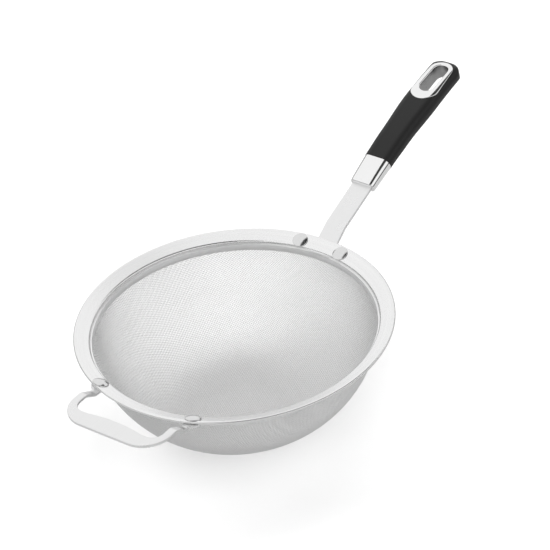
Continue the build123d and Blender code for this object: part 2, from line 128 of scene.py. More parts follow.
GRIP_TIP_CORNER_R = 0.0110
GRIP_WAIST_AT = 0.0500
GRIP_BELLY_AT = 0.0880
GRIP_TAIL_AT = 0.1220
CORNER_SHARE = 0.46
SLOT_AT = 0.1114
SLOT_L = 0.0310
SLOT_W = 0.0124
LINER_WALL = 0.0013
LINER_LIP_L = 0.0438
LINER_LIP_FOOT_W = 0.0232
LINER_LIP_TIP_W = 0.0204
LINER_LIP_T = 0.0013
LINER_PROUD = 0.00025
LINER_LIP_SHIFT = -0.0025
LINER_BACK_PROUD = 0.0001

# Sizes that only the looks need, in metres
PLATE_EDGE_R = 0.0004
HEAD_EDGE_R = 0.00025
BAND_EDGE_R = 0.0002
BAND_BEAD_H = 0.00055
GRIP_TIP_EDGE_R = 0.0030
GRIP_START_EDGE_R = 0.0004
GRIP_FIELD_L = 0.0300
GRIP_UNDERLAP = 0.0001
LIP_EDGE_R = 0.0004
LIP_SLOT_R = 0.0011
LIP_BULGE = 0.0001
LIP_AIM_BACK = 0.0122
LIP_AIM_ON = 0.0092
LINER_BACK_EDGE_R = 0.0003
TANG_END_DEPTH = 0.0040
TANG_LINE_OVERRUN = 0.06
TANG_LOBE_TURN = radians(200)
HELPER_LOBE_START = radians(150)
HEAD_EDGE_TURN = radians(80)
HELPER_LINE_OVERRUN = 0.005
CLOTH_TURN = radians(57.0)
CLOTH_CUTS = 4
LATHE_STEPS = 360
RIVET_STEPS = 64
LINER_LOOP = 240
GRIP_LOOP = 720
FRONT_FACE_SHARES = (0, 0.35, 0.7, 0.9)
GRIP_EDGE_SHARE = 0.6
WELD = 1e-7
GRIP_WELD = 2e-6
CREASE = radians(50)
SMALL_CREASE = radians(40)
GRIP_CREASE = radians(45)

# Heights and radii that follow from them
FLANGE_TAN = tan(FLANGE_SLOPE)
FLANGE_COS = cos(FLANGE_SLOPE)
COLLAR_Z = (BASE_ARC_R * (1 - cos(KNUCKLE_ANGLE))
            + WALL_ARC_R * (cos(KNUCKLE_ANGLE) - cos(WALL_TOP_ANGLE)))
COLLAR_TOP_Z = COLLAR_Z + COLLAR_H
BASE_FLAT_R = (MOUTH_R - BASE_ARC_R * sin(KNUCKLE_ANGLE)
               - WALL_ARC_R * (sin(WALL_TOP_ANGLE) - sin(KNUCKLE_ANGLE)))
WALL_CENTRE_R = MOUTH_R - WALL_ARC_R * sin(WALL_TOP_ANGLE)
WALL_CENTRE_Z = COLLAR_Z + WALL_ARC_R * cos(WALL_TOP_ANGLE)
NECK_MID_R = MOUTH_R + SHEET_T / 2
NECK_CORNER_Z = COLLAR_Z + NECK_H
CURL_MID_R = CURL_R - SHEET_T / 2
RIM_R = MOUTH_R + FLANGE_REACH
CURL_CENTRE_R = RIM_R - CURL_R
CURL_CENTRE_Z = (NECK_CORNER_Z - CURL_MID_R * cos(FLANGE_SLOPE)
                 + (CURL_CENTRE_R - CURL_MID_R * sin(FLANGE_SLOPE) - NECK_MID_R) * FLANGE_TAN)
LEVEL_Z = CURL_CENTRE_Z - CURL_R - CURL_GAP
FOOT_IN_R = MOUTH_R + SHEET_T + FOOT_EDGE_GAP
MEET_R = (CURL_CENTRE_R
          + (LEVEL_Z + SHEET_T / FLANGE_COS - CURL_CENTRE_Z - CURL_R / FLANGE_COS) / FLANGE_TAN)
LONG_RIVET_R = RIM_R - LONG_RIVET_INSET
HELPER_RIVET_R = RIM_R - HELPER_RIVET_INSET
HELPER_RIVET_HALF = HELPER_ARM_OUT - HELPER_RIVET_TO_ARM
LONG_RIVET_ANGLE = np.arcsin(LONG_RIVET_HALF / LONG_RIVET_R)
HELPER_RIVET_ANGLE = np.arcsin(HELPER_RIVET_HALF / HELPER_RIVET_R)
HELPER_END_X = RIM_R + HELPER_REACH
HELPER_TOP_Z = LEVEL_Z + HELPER_RISE_H
HELPER_RISE_START = RIM_R - HELPER_RISE_INSET
TANG_RISE_START = RIM_R + TANG_RISE_OUTSET
KNEE_X = TANG_RISE_START + TANG_KNEE_RUN
KNEE_Z = LEVEL_Z + TANG_KNEE_RUN * tan(TANG_KNEE_SLOPE)
MOUTH_X = RIM_R + MOUTH_OUTSET
MOUTH_Z = (KNEE_Z + (MOUTH_X - KNEE_X) * tan(TANG_SLOPE)
           - PLATE_T / 2 / cos(TANG_SLOPE))

# Grip's stations: place along the handle, width and depth
GRIP_STATIONS = np.array([
    (FERRULE_L, FERRULE_END_W + 2 * GRIP_STEP, FERRULE_END_D + 2 * GRIP_STEP),
    (GRIP_WAIST_AT, GRIP_WAIST_W, GRIP_WAIST_D),
    (GRIP_BELLY_AT, GRIP_W, GRIP_D),
    (GRIP_TAIL_AT, GRIP_TAIL_W, GRIP_TAIL_D),
    (GRIP_END, GRIP_TAIL_W, GRIP_TIP_D),
])

# Camera at the photograph's viewing angle
CAMERA_PLACE = (-1.336116, -1.149592, 1.381144)
CAMERA_RIGHT = (0.5834843, -0.80705324, -0.09061532)
CAMERA_DOWN = (-0.51665117, -0.28279099, -0.80814653)
CAMERA_FORWARD = (0.62659208, 0.51835733, -0.58196911)
CAMERA_FAR = 60
IMAGE_SIDE = 550
FOCAL_PIXELS = 2953.97
SENSOR_MM = 36.0

# Set: floor, dark card overhead, low dark screen and lamps with their power's setting
FLOOR_HALF = 12.0
FLOOR_GLOW = 0.14
CARD_X = (-2.2, 2.4)
CARD_Y = (-1.75, -0.12)
SCREEN_GLOW = 0.02
SCREEN_TOP_GLOW = 0.7
SCREEN_CURVE = 3.0
LAMP_AIM = (0.03, 0.0, 0.06)
LAMPS = {
    "key_lamp": ((-0.4, 1.9, 1.9), "key_power"),
    "side_lamp": ((1.5, 0.5, 2.1), "fill_power"),
    "front_lamp": ((-0.7, -1.5, 2.1), "fill_power"),
}

# Grain, skin and marks of use, all made of noise
TURNED_ROUND = 5.0
TURNED_TONE_SCALE = 0.22
STRAIGHT_ALONG = 0.03
STRAIGHT_TONE_SCALE = 0.25
SKIN_WAVE_SCALE = 0.03
SKIN_WAVE_SHARE = 0.6
SPECK_SCALE = 23.0
SPECK_LEVEL = 0.62
SPECK_GAIN = 2.0
LEAST_ROUGHNESS = 0.03

# Finishes: settings that give colour and roughness, metallic share and specular level,
# then the grain (kind, lines per metre, height, strength) and the marks (patch size,
# amount, spread of tone)
FINISHES = {
    "woven_steel": ("cloth", "", 0.5, 0.5,
                    ("turned_grain", 9000.0, 0.000004, 0.15), (0.03, 0.12, 0.12)),
    "rim_steel": ("steel", "rim_", 1.0, 0.5,
                  ("turned_grain", 2600.0, 0.00001, 0.12), (0.05, 0.08, 0.08)),
    "band_steel": ("steel", "band_", 1.0, 0.5,
                   ("turned_grain", 2600.0, 0.00001, 0.12), (0.05, 0.08, 0.06)),
    "plate_steel": ("steel", "plate_", 1.0, 0.5,
                    ("straight_grain", 3200.0, 0.000004, 0.08), (0.03, 0.08, 0.04)),
    "rivet_steel": ("steel", "rivet_", 1.0, 0.5, None, (0.006, 0.12, 0.08)),
    "cap_chrome": ("steel", "cap_", 1.0, 0.5, None, (0.012, 0.07, 0.04)),
    # The liner's faces inside the slot: a darker copy of the chrome, painted shade of the recess
    "liner_inner_wall": ("steel", "painted_shade_wall_", 1.0, 0.5, None, (0.004, 0.35, 0.7)),
    "soft_skin": ("grip", "", 0.0, 0.28,
                  ("moulded_skin", None, 0.00006, 0.25), (0.03, 0.12, 0.25)),
    "core_nylon": ("grip", "core_", 0.0, 0.5,
                   ("moulded_skin", None, 0.00005, 0.2), (0.02, 0.1, 0.1)),
}


# Shapes as arrays


def turn_points(centre, radius, start, sweep, count):
    """Points on an arc: centre plus radius times (cos, sin) of evenly spaced angles."""
    angles = np.linspace(start, start + sweep, count)
    return np.asarray(centre) + radius * np.stack([np.cos(angles), np.sin(angles)], axis=1)


def round_corners(corners, radii, count):
    """Closed outline whose corners become arcs that touch both sides.

    Each arc starts and ends at radius / tan(half the corner's angle) from its corner, and
    its centre lies on the corner's bisector.
    """
    corners = np.asarray(corners, float)
    pieces = []
    for i, radius in enumerate(radii):
        here = corners[i]
        if radius == 0:
            pieces.append(here[None])
            continue
        back = corners[i - 1] - here
        on = corners[(i + 1) % len(corners)] - here
        back /= np.linalg.norm(back)
        on /= np.linalg.norm(on)
        half = np.arccos(np.clip(back @ on, -1, 1)) / 2
        middle = (back + on) / np.linalg.norm(back + on)
        centre = here + middle * radius / np.sin(half)
        first = here + back * radius / np.tan(half) - centre
        last = here + on * radius / np.tan(half) - centre
        start = np.arctan2(first[1], first[0])
        sweep = (np.arctan2(last[1], last[0]) - start + np.pi) % (2 * np.pi) - np.pi
        pieces.append(turn_points(centre, radius, start, sweep, count))
    return np.concatenate(pieces)


def bent_line(corners, radius, count):
    """Open line through the corners, with its inner corners rounded to one radius."""
    return round_corners(corners, [0] + [radius] * (len(corners) - 2) + [0], count)


def rounded_section(width, height, radius=None):
    """Outline of a rounded rectangle; its corners are a fixed share of its height, or given."""
    r = height * CORNER_SHARE if radius is None else radius
    w, h = width / 2, height / 2
    return round_corners([(-w, -h), (w, -h), (w, h), (-w, h)], [r] * 4, 12)


def unit(vectors):
    """Vectors brought to length one."""
    return vectors / np.linalg.norm(vectors, axis=1)[:, None]


def side_line(line, distance):
    """Line moved sideways: each point goes along the normal of the line there."""
    step = unit(np.gradient(line, axis=0))
    return line + distance * np.stack([-step[:, 1], step[:, 0]], axis=1)


def lengths_along(line):
    """Length along a line from its first point to each of its points."""
    return np.concatenate([[0], np.cumsum(np.linalg.norm(np.diff(line, axis=0), axis=1))])


def read_line(line, length, at):
    """Points of a line at the asked lengths."""
    return np.stack([np.interp(at, length, line[:, k]) for k in (0, 1)], axis=1)


def edge_steps(radius, count):
    """Rounded edge, a quarter circle: distances in, R (1 - cos a), and drops, R (1 - sin a)."""
    a = np.linspace(0, np.pi / 2, count)
    return radius * (1 - np.cos(a)), radius * (1 - np.sin(a))


def ring_mesh(rings, wrap_rows=True, wrap_columns=True):
    """Points and faces of a grid: each face joins a point to its neighbours both ways."""
    rings = np.asarray(rings)
    rows, columns = rings.shape[:2]
    i = np.arange(rows if wrap_rows else rows - 1)[:, None]
    j = np.arange(columns if wrap_columns else columns - 1)[None]
    a = i * columns + j
    b = i * columns + (j + 1) % columns
    c = (i + 1) % rows * columns + (j + 1) % columns
    d = (i + 1) % rows * columns + j
    return rings.reshape(-1, 3), np.stack([a, b, c, d], axis=-1).reshape(-1, 4)


def joined(meshes):
    """Points and faces of several meshes as one."""
    starts = np.cumsum([0] + [len(points) for points, _ in meshes])
    return (np.concatenate([points for points, _ in meshes]),
            np.concatenate([quads + start for (_, quads), start in zip(meshes, starts)]))


def lathe(outline, steps):
    """Closed outline of (radius, height) turned round Z: (r cos t, r sin t, h)."""
    t = np.linspace(0, 2 * np.pi, steps, endpoint=False)[:, None]
    r, h = outline.T[:, None]
    return ring_mesh(np.stack([r * np.cos(t), r * np.sin(t), h + 0 * t], axis=-1))


def make_piece(name, points, faces, material, replaced, sharp=None, weld=0.0):
    """Mesh object from arrays, riding on the part and standing for the named solids.

    Edges sharper than the angle stay creased. The weld joins points that lie closer than
    it, and the faces are turned outward, unless it is None.
    """
    counts = np.concatenate([np.full(len(group), group.shape[1]) for group in faces])
    corners = np.concatenate([group.reshape(-1) for group in faces])
    mesh = bpy.data.meshes.new(name)
    mesh.vertices.add(len(points))
    mesh.vertices.foreach_set("co", points.astype(np.float32).reshape(-1))
    mesh.loops.add(len(corners))
    mesh.loops.foreach_set("vertex_index", corners.astype(np.int32))
    mesh.polygons.add(len(counts))
    starts = np.concatenate([[0], np.cumsum(counts)[:-1]])
    mesh.polygons.foreach_set("loop_start", starts.astype(np.int32))
    mesh.update(calc_edges=True)
    if weld is not None:
        form = bmesh.new()
        form.from_mesh(mesh)
        if weld:
            bmesh.ops.remove_doubles(form, verts=form.verts, dist=weld)
        bmesh.ops.recalc_face_normals(form, faces=form.faces)
        form.to_mesh(mesh)
        form.free()
    mesh.shade_smooth()
    if sharp:
        mesh.set_sharp_from_angle(angle=sharp)
    piece = bpy.data.objects.new(name, mesh)
    bpy.context.scene.collection.objects.link(piece)
    mesh.materials.append(material)
    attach(piece, "root")
    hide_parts(*replaced)
    return piece


# Bowl


def bowl_line(s):
    """Middle of the cloth at arc length s from the bowl's centre, and its inward normal.

    Level out to the flat's edge, then an arc of the knuckle, an arc of the wall and
    the upright collar. Returns (radius, height, normal's radius part, its height part).
    """
    depth = MESH_T / 2
    knuckle_r = BASE_ARC_R - depth
    wall_r = WALL_ARC_R - depth
    top = np.arcsin((MOUTH_R - depth - WALL_CENTRE_R) / wall_r)
    s1 = BASE_FLAT_R
    s2 = s1 + knuckle_r * KNUCKLE_ANGLE
    s3 = s2 + wall_r * (top - KNUCKLE_ANGLE)
    a = np.clip((s - s1) / knuckle_r, 0, KNUCKLE_ANGLE)
    b = np.clip(KNUCKLE_ANGLE + (s - s2) / wall_r, KNUCKLE_ANGLE, top)
    on_wall = s > s2
    angle = np.where(on_wall, b, a)
    r = np.where(on_wall, WALL_CENTRE_R + wall_r * np.sin(b),
                 np.minimum(s, s1) + knuckle_r * np.sin(a))
    z = np.where(on_wall, WALL_CENTRE_Z - wall_r * np.cos(b),
                 BASE_ARC_R - knuckle_r * np.cos(a))
    z = z + np.maximum(s - s3, 0)
    return r, z, -np.sin(angle), np.cos(angle)


def cloth_reach():
    """Arc length from the bowl's centre to the collar's cut edge."""
    s = np.linspace(0, 2 * MOUTH_R, 4001)
    return float(s[np.searchsorted(bowl_line(s)[1], COLLAR_TOP_Z) - 1])


def cloth_point(u, v, lift, turn):
    """Point of the draped cloth at flat place (u, v), lifted along the bowl's normal.

    The distance from the centre is kept along the bowl's section, and the direction is
    kept in plan, so the threads draw together as the wall gets steeper.
    """
    t = np.arctan2(v, u) + turn
    r, z, nr, nz = bowl_line(np.hypot(u, v))
    out = (r + lift * nr)[..., None] * np.stack([np.cos(t), np.sin(t), 0 * t], axis=-1)
    out[..., 2] = z + lift * nz
    return out, np.stack([nr * np.cos(t), nr * np.sin(t), nz], axis=-1)


def wire_family(pitch, wire, sides, turn):
    """Tubes of one family of woven wires: points, faces, end caps, each wire's first point.

    Wire j lies at v = (j + 1/2) pitch. Its middle goes over and under the wires that it
    crosses: lift = wire / 2 times the sign of the crossing, and zero half way between.
    Each station's ring is the middle plus the wire's radius times
    (cos a, sin a) in the plane across the wire.
    """
    reach = cloth_reach()
    half = int(reach / pitch) + 1
    j = np.arange(-half, half)[:, None]
    i = np.arange(-2 * half, 2 * half + 1)[None]
    v = (j + 0.5) * pitch + 0 * i
    u = (i + 1) * pitch / 2 + 0 * j
    over = np.where(i % 2 == 0, np.where((i // 2 + j) % 2 == 0, 1.0, -1.0), 0.0)
    keep = np.hypot(u, v) < reach
    middle, normal = cloth_point(u, v, over * wire / 2, turn)
    has_next = keep & np.roll(keep, -1, axis=1)
    has_last = keep & np.roll(keep, 1, axis=1)
    along = (np.where(has_next[..., None], np.roll(middle, -1, axis=1), middle)
             - np.where(has_last[..., None], np.roll(middle, 1, axis=1), middle))
    keep &= has_next | has_last
    middle = middle[keep]
    along = unit(along[keep])
    across = unit(np.cross(along, normal[keep]))
    normal = np.cross(across, along)
    a = ((np.arange(sides) + 0.5) * 2 * np.pi / sides)[None, :, None]
    rings = (middle[:, None]
             + wire / 2 * (np.cos(a) * normal[:, None] + np.sin(a) * across[:, None]))
    numbers = np.full(keep.shape, -1)
    numbers[keep] = np.arange(keep.sum())
    both = keep[:, :-1] & keep[:, 1:]
    first = numbers[:, :-1][both][:, None] * sides
    after = numbers[:, 1:][both][:, None] * sides
    k = np.arange(sides)[None]
    on = (k + 1) % sides
    quads = np.stack([first + k, first + on, after + on, after + k], axis=-1).reshape(-1, 4)
    starts = numbers[keep & ~np.roll(keep, 1, axis=1)][:, None] * sides
    ends = numbers[keep & ~np.roll(keep, -1, axis=1)][:, None] * sides
    caps = np.concatenate([starts + k[:, ::-1], ends + k])
    wire_starts = np.concatenate([[0], np.cumsum(keep.sum(axis=1))[:-1]]) * sides
    return rings.reshape(-1, 3), quads, caps, wire_starts


def cut_run(points, faces, low, high):
    """Part of a set of tubes: the faces whose points lie in one run of numbers."""
    return points[low:high], [
        group[(group.min(axis=1) >= low) & (group.max(axis=1) < high)] - low
        for group in faces]


def rim_outline():
    """Closed section of the rim's sheet.

    The middle line goes up the neck, round its bend, out along the flange and round the
    curl. Both faces lie half a thickness to its sides, and both cut edges are rounded.
    """
    curl = np.array((CURL_CENTRE_R, CURL_CENTRE_Z))
    lean = radians(90) + FLANGE_SLOPE
    curl_start = (curl[0] + CURL_MID_R * cos(lean), curl[1] + CURL_MID_R * sin(lean))
    middle = bent_line([(NECK_MID_R, COLLAR_Z), (NECK_MID_R, NECK_CORNER_Z), curl_start],
                       NECK_BEND_R, 10)[:-1]
    slope = middle[-1] + (curl_start - middle[-1]) * np.linspace(0, 1, 12)[1:-1, None]
    line = np.concatenate([middle, slope, turn_points(curl, CURL_MID_R, lean, -CURL_TURN, 40)])
    outer = side_line(line, SHEET_T / 2)
    inner = side_line(line, -SHEET_T / 2)

    def cut_edge(end, face):
        """Half circle round an end of the middle line, from one face to the other."""
        start = np.arctan2(*(face - end)[::-1])
        return turn_points(end, SHEET_T / 2, start, -np.pi, 7)[1:-1]

    foot = cut_edge(line[0], inner[0])
    foot[:, 1] = np.maximum(foot[:, 1], COLLAR_Z)
    return np.concatenate([outer, cut_edge(line[-1], outer[-1]), inner[::-1], foot])


def band_outline():
    """Closed section of the clamp band: a bead inside the collar with a lip over its edge.

    The bead's inner face is an arc through its foot, its full depth half way up, and its top.
    """
    out_r = MOUTH_R - MESH_T
    foot_z = COLLAR_Z - BAND_DROP
    top_z = COLLAR_TOP_Z + BAND_LIP_T
    half = (top_z - foot_z) / 2
    radius = (half ** 2 + BAND_BEAD_H ** 2) / (2 * BAND_BEAD_H)
    lean = np.arcsin(half / radius)
    bead = turn_points((out_r - BAND_T + radius, foot_z + half), radius,
                       np.pi - lean, 2 * lean, 14)
    return np.concatenate([
        [(out_r, foot_z), (out_r, COLLAR_TOP_Z), (MOUTH_R, COLLAR_TOP_Z),
         (MOUTH_R, top_z - BAND_EDGE_R), (MOUTH_R - BAND_EDGE_R, top_z)], bead])


# Flat plates of both handles


def flange_top(r):
    """Height of the flange's upper face at a radius."""
    return CURL_CENTRE_Z + CURL_R / FLANGE_COS + (r - CURL_CENTRE_R) * FLANGE_TAN


def foot_height(x, y, line, under):
    """Height of a plate's face: the bent line outside, and flat to the flange near the neck."""
    r = np.hypot(x, y)
    flange = flange_top(r) - SHEET_T / FLANGE_COS
    return np.where(r < MEET_R, flange - (PLATE_T if under else 0),
                    np.interp(x, line[:, 0], line[:, 1]))


def plate_surface(left, right, corners, radius):
    """Closed plate between two plan outlines of equal count, bent along corners in (x, z).

    Each pair of outline points is one cross-section: up the left side, over the rounded
    edge, across the top, and back along the bottom.
    """
    top = bent_line(corners, radius, 16)
    bottom = side_line(top, -PLATE_T)
    width = np.linalg.norm(right - left, axis=1)
    aim = (right - left) / np.maximum(width, 1e-9)[:, None]
    inset, drop = edge_steps(PLATE_EDGE_R, 5)
    share = np.linspace(0, 1, 9)[1:-1]
    limit = np.minimum(PLATE_EDGE_R, width / 4)[:, None] / PLATE_EDGE_R
    near = inset[None] * limit
    middle = near[:, -1:] + (width[:, None] - 2 * near[:, -1:]) * share[None]
    far = width[:, None] - near[:, ::-1]
    across = np.concatenate([near, middle, far], axis=1)
    falls = np.concatenate([drop[None] * limit, 0 * middle, drop[None, ::-1] * limit], axis=1)
    x = left[:, :1] + aim[:, :1] * across
    y = left[:, 1:] + aim[:, 1:] * across
    upper = np.stack([x, y, foot_height(x, y, top, False) - falls], axis=-1)
    lower = np.stack([x, y, foot_height(x, y, bottom, True) + falls], axis=-1)
    rings = np.concatenate([upper, lower[:, ::-1]], axis=1)
    points, quads = ring_mesh(rings, False)
    rows, columns = rings.shape[:2]
    j = np.arange(columns // 2 - 1)
    end = np.stack([columns - 1 - j, columns - 2 - j, j + 1, j], axis=-1)
    return points, np.concatenate([quads, end, end[:, ::-1] + (rows - 1) * columns])


def tang_outline():
    """Half of the tang's plan: foot edge on a circle, lobe, root fillet and straight run."""
    rivet_x = LONG_RIVET_R * cos(LONG_RIVET_ANGLE)
    lobe = turn_points((rivet_x, LONG_RIVET_HALF), LOBE_R, TANG_LOBE_TURN, -TANG_LOBE_TURN, 60)
    lobe = lobe[np.hypot(lobe[:, 0], lobe[:, 1]) > FOOT_IN_R]
    last = np.arctan2(lobe[0, 1], lobe[0, 0])
    foot = turn_points((0, 0), FOOT_IN_R, 0, last, 24)[:-1]
    half = TANG_W / 2
    fillet_r = TANG_ROOT_FILLET_R
    root_x = rivet_x + LOBE_R + fillet_r
    root = turn_points((root_x, half + fillet_r), fillet_r, radians(180), radians(90), 12)
    run = np.linspace((root_x, half), (MOUTH_X + TANG_END_DEPTH, half), 50)[1:]
    return np.concatenate([foot, lobe, root, run])


def tang_surface():
    """Long handle's plate, bent from its foot under the flange up through its knee."""
    end_x = MOUTH_X + TANG_LINE_OVERRUN
    half = tang_outline()
    return plate_surface(half, half * [1, -1], [
        (MOUTH_R - LOBE_R, LEVEL_Z), (TANG_RISE_START, LEVEL_Z), (KNEE_X, KNEE_Z),
        (end_x, KNEE_Z + (end_x - KNEE_X) * tan(TANG_SLOPE))], TANG_BEND_R)


def helper_outlines():
    """Outer and inner plan outlines of the helper handle, from one tab to the other.

    Both start at a tab's inner edge, follow its lobe, blend into the arm, turn the
    corner and run along the bar, whose inner side swells to the middle.
    """
    rivet_x = HELPER_RIVET_R * cos(HELPER_RIVET_ANGLE)
    rivet_y = HELPER_RIVET_HALF
    bar_in = HELPER_END_X - HELPER_BAR_W

    def tab(side_y, sign):
        """Lobe's arc and the fillet that joins it to a straight side, at equal lengths."""
        fillet_r = HELPER_ROOT_FILLET_R
        rise = side_y + sign * fillet_r - rivet_y
        run = sqrt((LOBE_R + fillet_r) ** 2 - rise ** 2)
        meet = np.arctan2(rise, run)
        start = sign * HELPER_LOBE_START
        arc = turn_points((rivet_x, rivet_y), LOBE_R, start, meet - start, 40)
        arc = arc[np.hypot(arc[:, 0], arc[:, 1]) > FOOT_IN_R]
        back = meet + np.pi if sign < 0 else meet - np.pi
        blend = turn_points((rivet_x + run, side_y + sign * fillet_r), fillet_r,
                            back, -sign * radians(90) - back, 10)[1:]
        line = np.concatenate([arc, blend])
        length = lengths_along(line)
        return read_line(line, length, np.linspace(0, length[-1], 36))

    def half_side(side_y, sign, end_x, corner_r, bar):
        """Tab, arm, corner and the given half of the bar."""
        start = tab(side_y, sign)
        corner = turn_points((end_x - corner_r, side_y - corner_r), corner_r,
                             radians(90), -radians(90), 26)
        arm = np.linspace(start[-1], corner[0], 20)[1:-1]
        return np.concatenate([start, arm, corner, bar(corner[-1])])

    def swelling_bar(start):
        """Inner side of the bar, an arc that swells to the middle."""
        y = np.linspace(start[1], 0, 22)[1:]
        swell_r = (HELPER_SWELL_HALF ** 2 + HELPER_SWELL ** 2) / (2 * HELPER_SWELL)
        bulge = np.sqrt(swell_r ** 2 - y ** 2) - (swell_r - HELPER_SWELL)
        return np.stack([bar_in - np.maximum(bulge, 0), y], axis=1)

    outer = half_side(HELPER_ARM_OUT, 1, HELPER_END_X, HELPER_OUT_CORNER_R,
                      lambda start: np.linspace(start, (HELPER_END_X, 0), 22)[1:])
    inner = half_side(HELPER_ARM_OUT - HELPER_ARM_W, -1, bar_in, HELPER_IN_CORNER_R,
                      swelling_bar)
    return [np.concatenate([half, (half * [1, -1])[-2::-1]]) * [-1, 1]
            for half in (outer, inner)]


def helper_surface():
    """Helper handle's plate, level at the bar and bent down to its tabs."""
    return plate_surface(*helper_outlines(), [
        (-(HELPER_END_X + HELPER_LINE_OVERRUN), HELPER_TOP_Z),
        (-(HELPER_RISE_START + HELPER_RISE_RUN), HELPER_TOP_Z),
        (-HELPER_RISE_START, LEVEL_Z), (LOBE_R - MOUTH_R, LEVEL_Z)], HELPER_BEND_R)


# Rivets


def cap_points(radius, height, count):
    """Arc of a shallow dome from its rim to its crown, as (radius, height)."""
    ball = (radius ** 2 + height ** 2) / (2 * height)
    a = np.linspace(np.arcsin(radius / ball), 0, count)
    return np.stack([ball * np.sin(a), height - ball * (1 - np.cos(a))], axis=1)


def rivet_outline(depth):
    """Rivet's section: domed head, upright edge, shank and the peened tail's dome."""
    crown = cap_points(HEAD_R - HEAD_EDGE_R / 3, HEAD_DOME_H, 14) + [0, HEAD_EDGE_H]
    edge = turn_points((HEAD_R - HEAD_EDGE_R, HEAD_EDGE_H - HEAD_EDGE_R), HEAD_EDGE_R,
                       0, HEAD_EDGE_TURN, 5)
    tail = cap_points(TAIL_R, TAIL_H, 10) * [1, -1] + [0, -depth]
    return np.concatenate([
        crown[::-1], edge[::-1], [(HEAD_R, 0.0), (SHANK_R, 0.0), (SHANK_R, -depth)], tail])


def rivet_pair(radius, middle, half):
    """Two rivets, half an angle to both sides of a middle direction.

    The section is turned round an axis square to the flange at each place.
    """
    top = flange_top(radius)
    foot_top = min(top - SHEET_T / FLANGE_COS, LEVEL_Z)
    flat, quads = lathe(rivet_outline((top - foot_top + PLATE_T) * FLANGE_COS), RIVET_STEPS)
    rivets = []
    for angle in (middle + half, middle - half):
        out = np.array([cos(angle), sin(angle), 0])
        axis = np.array([0, 0, 1]) * FLANGE_COS - out * sin(FLANGE_SLOPE)
        side = np.array([-sin(angle), cos(angle), 0])
        third = np.cross(axis, side)
        place = out * radius + [0, 0, top]
        rivets.append((place + flat[:, :1] * side + flat[:, 1:2] * third
                       + flat[:, 2:] * axis, quads))
    return joined(rivets)


# Long handle


def handle_points(plan, up):
    """Places on the handle: the arc's point at s, plus y across, plus up square to the arc."""
    s, across = plan[..., 0], plan[..., 1]
    start = HANDLE_START_ANGLE
    angle = start - s / HANDLE_ARC_R
    x = MOUTH_X + HANDLE_ARC_R * (np.sin(start) - np.sin(angle)) - up * np.sin(angle)
    z = MOUTH_Z + HANDLE_ARC_R * (np.cos(angle) - np.cos(start)) + up * np.cos(angle)
    return np.stack([x, across + 0 * x, z], axis=-1)


def ferrule_surface():
    """Ferrule: rings along the handle from the slot in its front wall, round the mouth's
    edge, along the taper, over the rear edge and back inside to the front wall."""
    mouth = np.array([FERRULE_MOUTH_W, FERRULE_MOUTH_D])
    end = np.array([FERRULE_END_W, FERRULE_END_D])
    rings = []

    def section(s, depth):
        """Taper's section at s, a depth under its outer face."""
        share = np.clip(s / FERRULE_L, 0, 1)
        return rounded_section(*(mouth + (end - mouth) * share - 2 * depth))

    def ring(s, outline):
        """Adds an outline (across, up) as a ring square to the handle at s."""
        plan = np.stack([np.full(len(outline), s), outline[:, 0]], axis=1)
        rings.append(handle_points(plan, outline[:, 1]))

    slot = rounded_section(TANG_W + 2 * TANG_SLOT_GAP, PLATE_T + 2 * TANG_SLOT_GAP,
                           TANG_SLOT_GAP)
    face = section(0, FERRULE_EDGE_R)
    ring(FERRULE_FRONT_T, slot)
    for share in FRONT_FACE_SHARES:
        ring(0.0, slot + (face - slot) * share)
    for inset, drop in zip(*edge_steps(FERRULE_EDGE_R, 7)):
        ring(inset, section(0, drop))
    for s in np.linspace(FERRULE_EDGE_R, FERRULE_L, 26)[1:-1]:
        ring(s, section(s, 0))
    edge = FERRULE_WALL / 3
    for a in np.linspace(0, np.pi, 7):
        ring(FERRULE_L - edge + edge * np.sin(a), section(FERRULE_L, edge * (1 - np.cos(a))))
    ring(FERRULE_L - 2 * edge, section(FERRULE_L, FERRULE_WALL))
    ring(FERRULE_FRONT_T, section(FERRULE_FRONT_T, FERRULE_WALL))
    return ring_mesh(rings)


def grip_size(s):
    """Grip's width and depth at s, eased by a cosine between its stations."""
    at = GRIP_STATIONS[:, 0]
    k = np.clip(np.searchsorted(at, s, side="right") - 1, 0, len(at) - 2)
    share = (1 - np.cos(np.pi * np.clip((s - at[k]) / (at[k + 1] - at[k]), 0, 1))) / 2
    return [size[k] + (size[k + 1] - size[k]) * share for size in GRIP_STATIONS.T[1:]]


def round_drop(distance, radius):
    """Drop of a face near a rounded edge: R - sqrt(R^2 - (R - d)^2), zero past R."""
    gap = np.clip(radius - distance, 0, radius)
    return radius - np.sqrt(np.maximum(radius ** 2 - gap ** 2, 0))


def grip_half_depth(plan):
    """Half of the grip's depth at plan places (s, y).

    Half the section's depth, less the drops of three rounded edges: the long sides, the
    tip, and the small edge at the ferrule. The drops join as a sum of fourth powers.
    """
    s, y = plan[..., 0], plan[..., 1]
    width, depth = grip_size(s)
    side = width / 2 - np.abs(y)
    r = GRIP_TIP_CORNER_R
    past_s = np.maximum(s - (GRIP_END - r), 0)
    past_y = np.maximum(np.abs(y) - (width / 2 - r), 0)
    in_corner = (past_s > 0) & (past_y > 0)
    tip = np.where(in_corner, r - np.hypot(past_s, past_y), GRIP_END - s)
    drops = (round_drop(side, depth * CORNER_SHARE) ** 4
             + round_drop(np.maximum(tip, 0), GRIP_TIP_EDGE_R) ** 4
             + round_drop(s - FERRULE_L, GRIP_START_EDGE_R) ** 4) ** 0.25
    return depth / 2 - np.minimum(drops, depth * CORNER_SHARE)


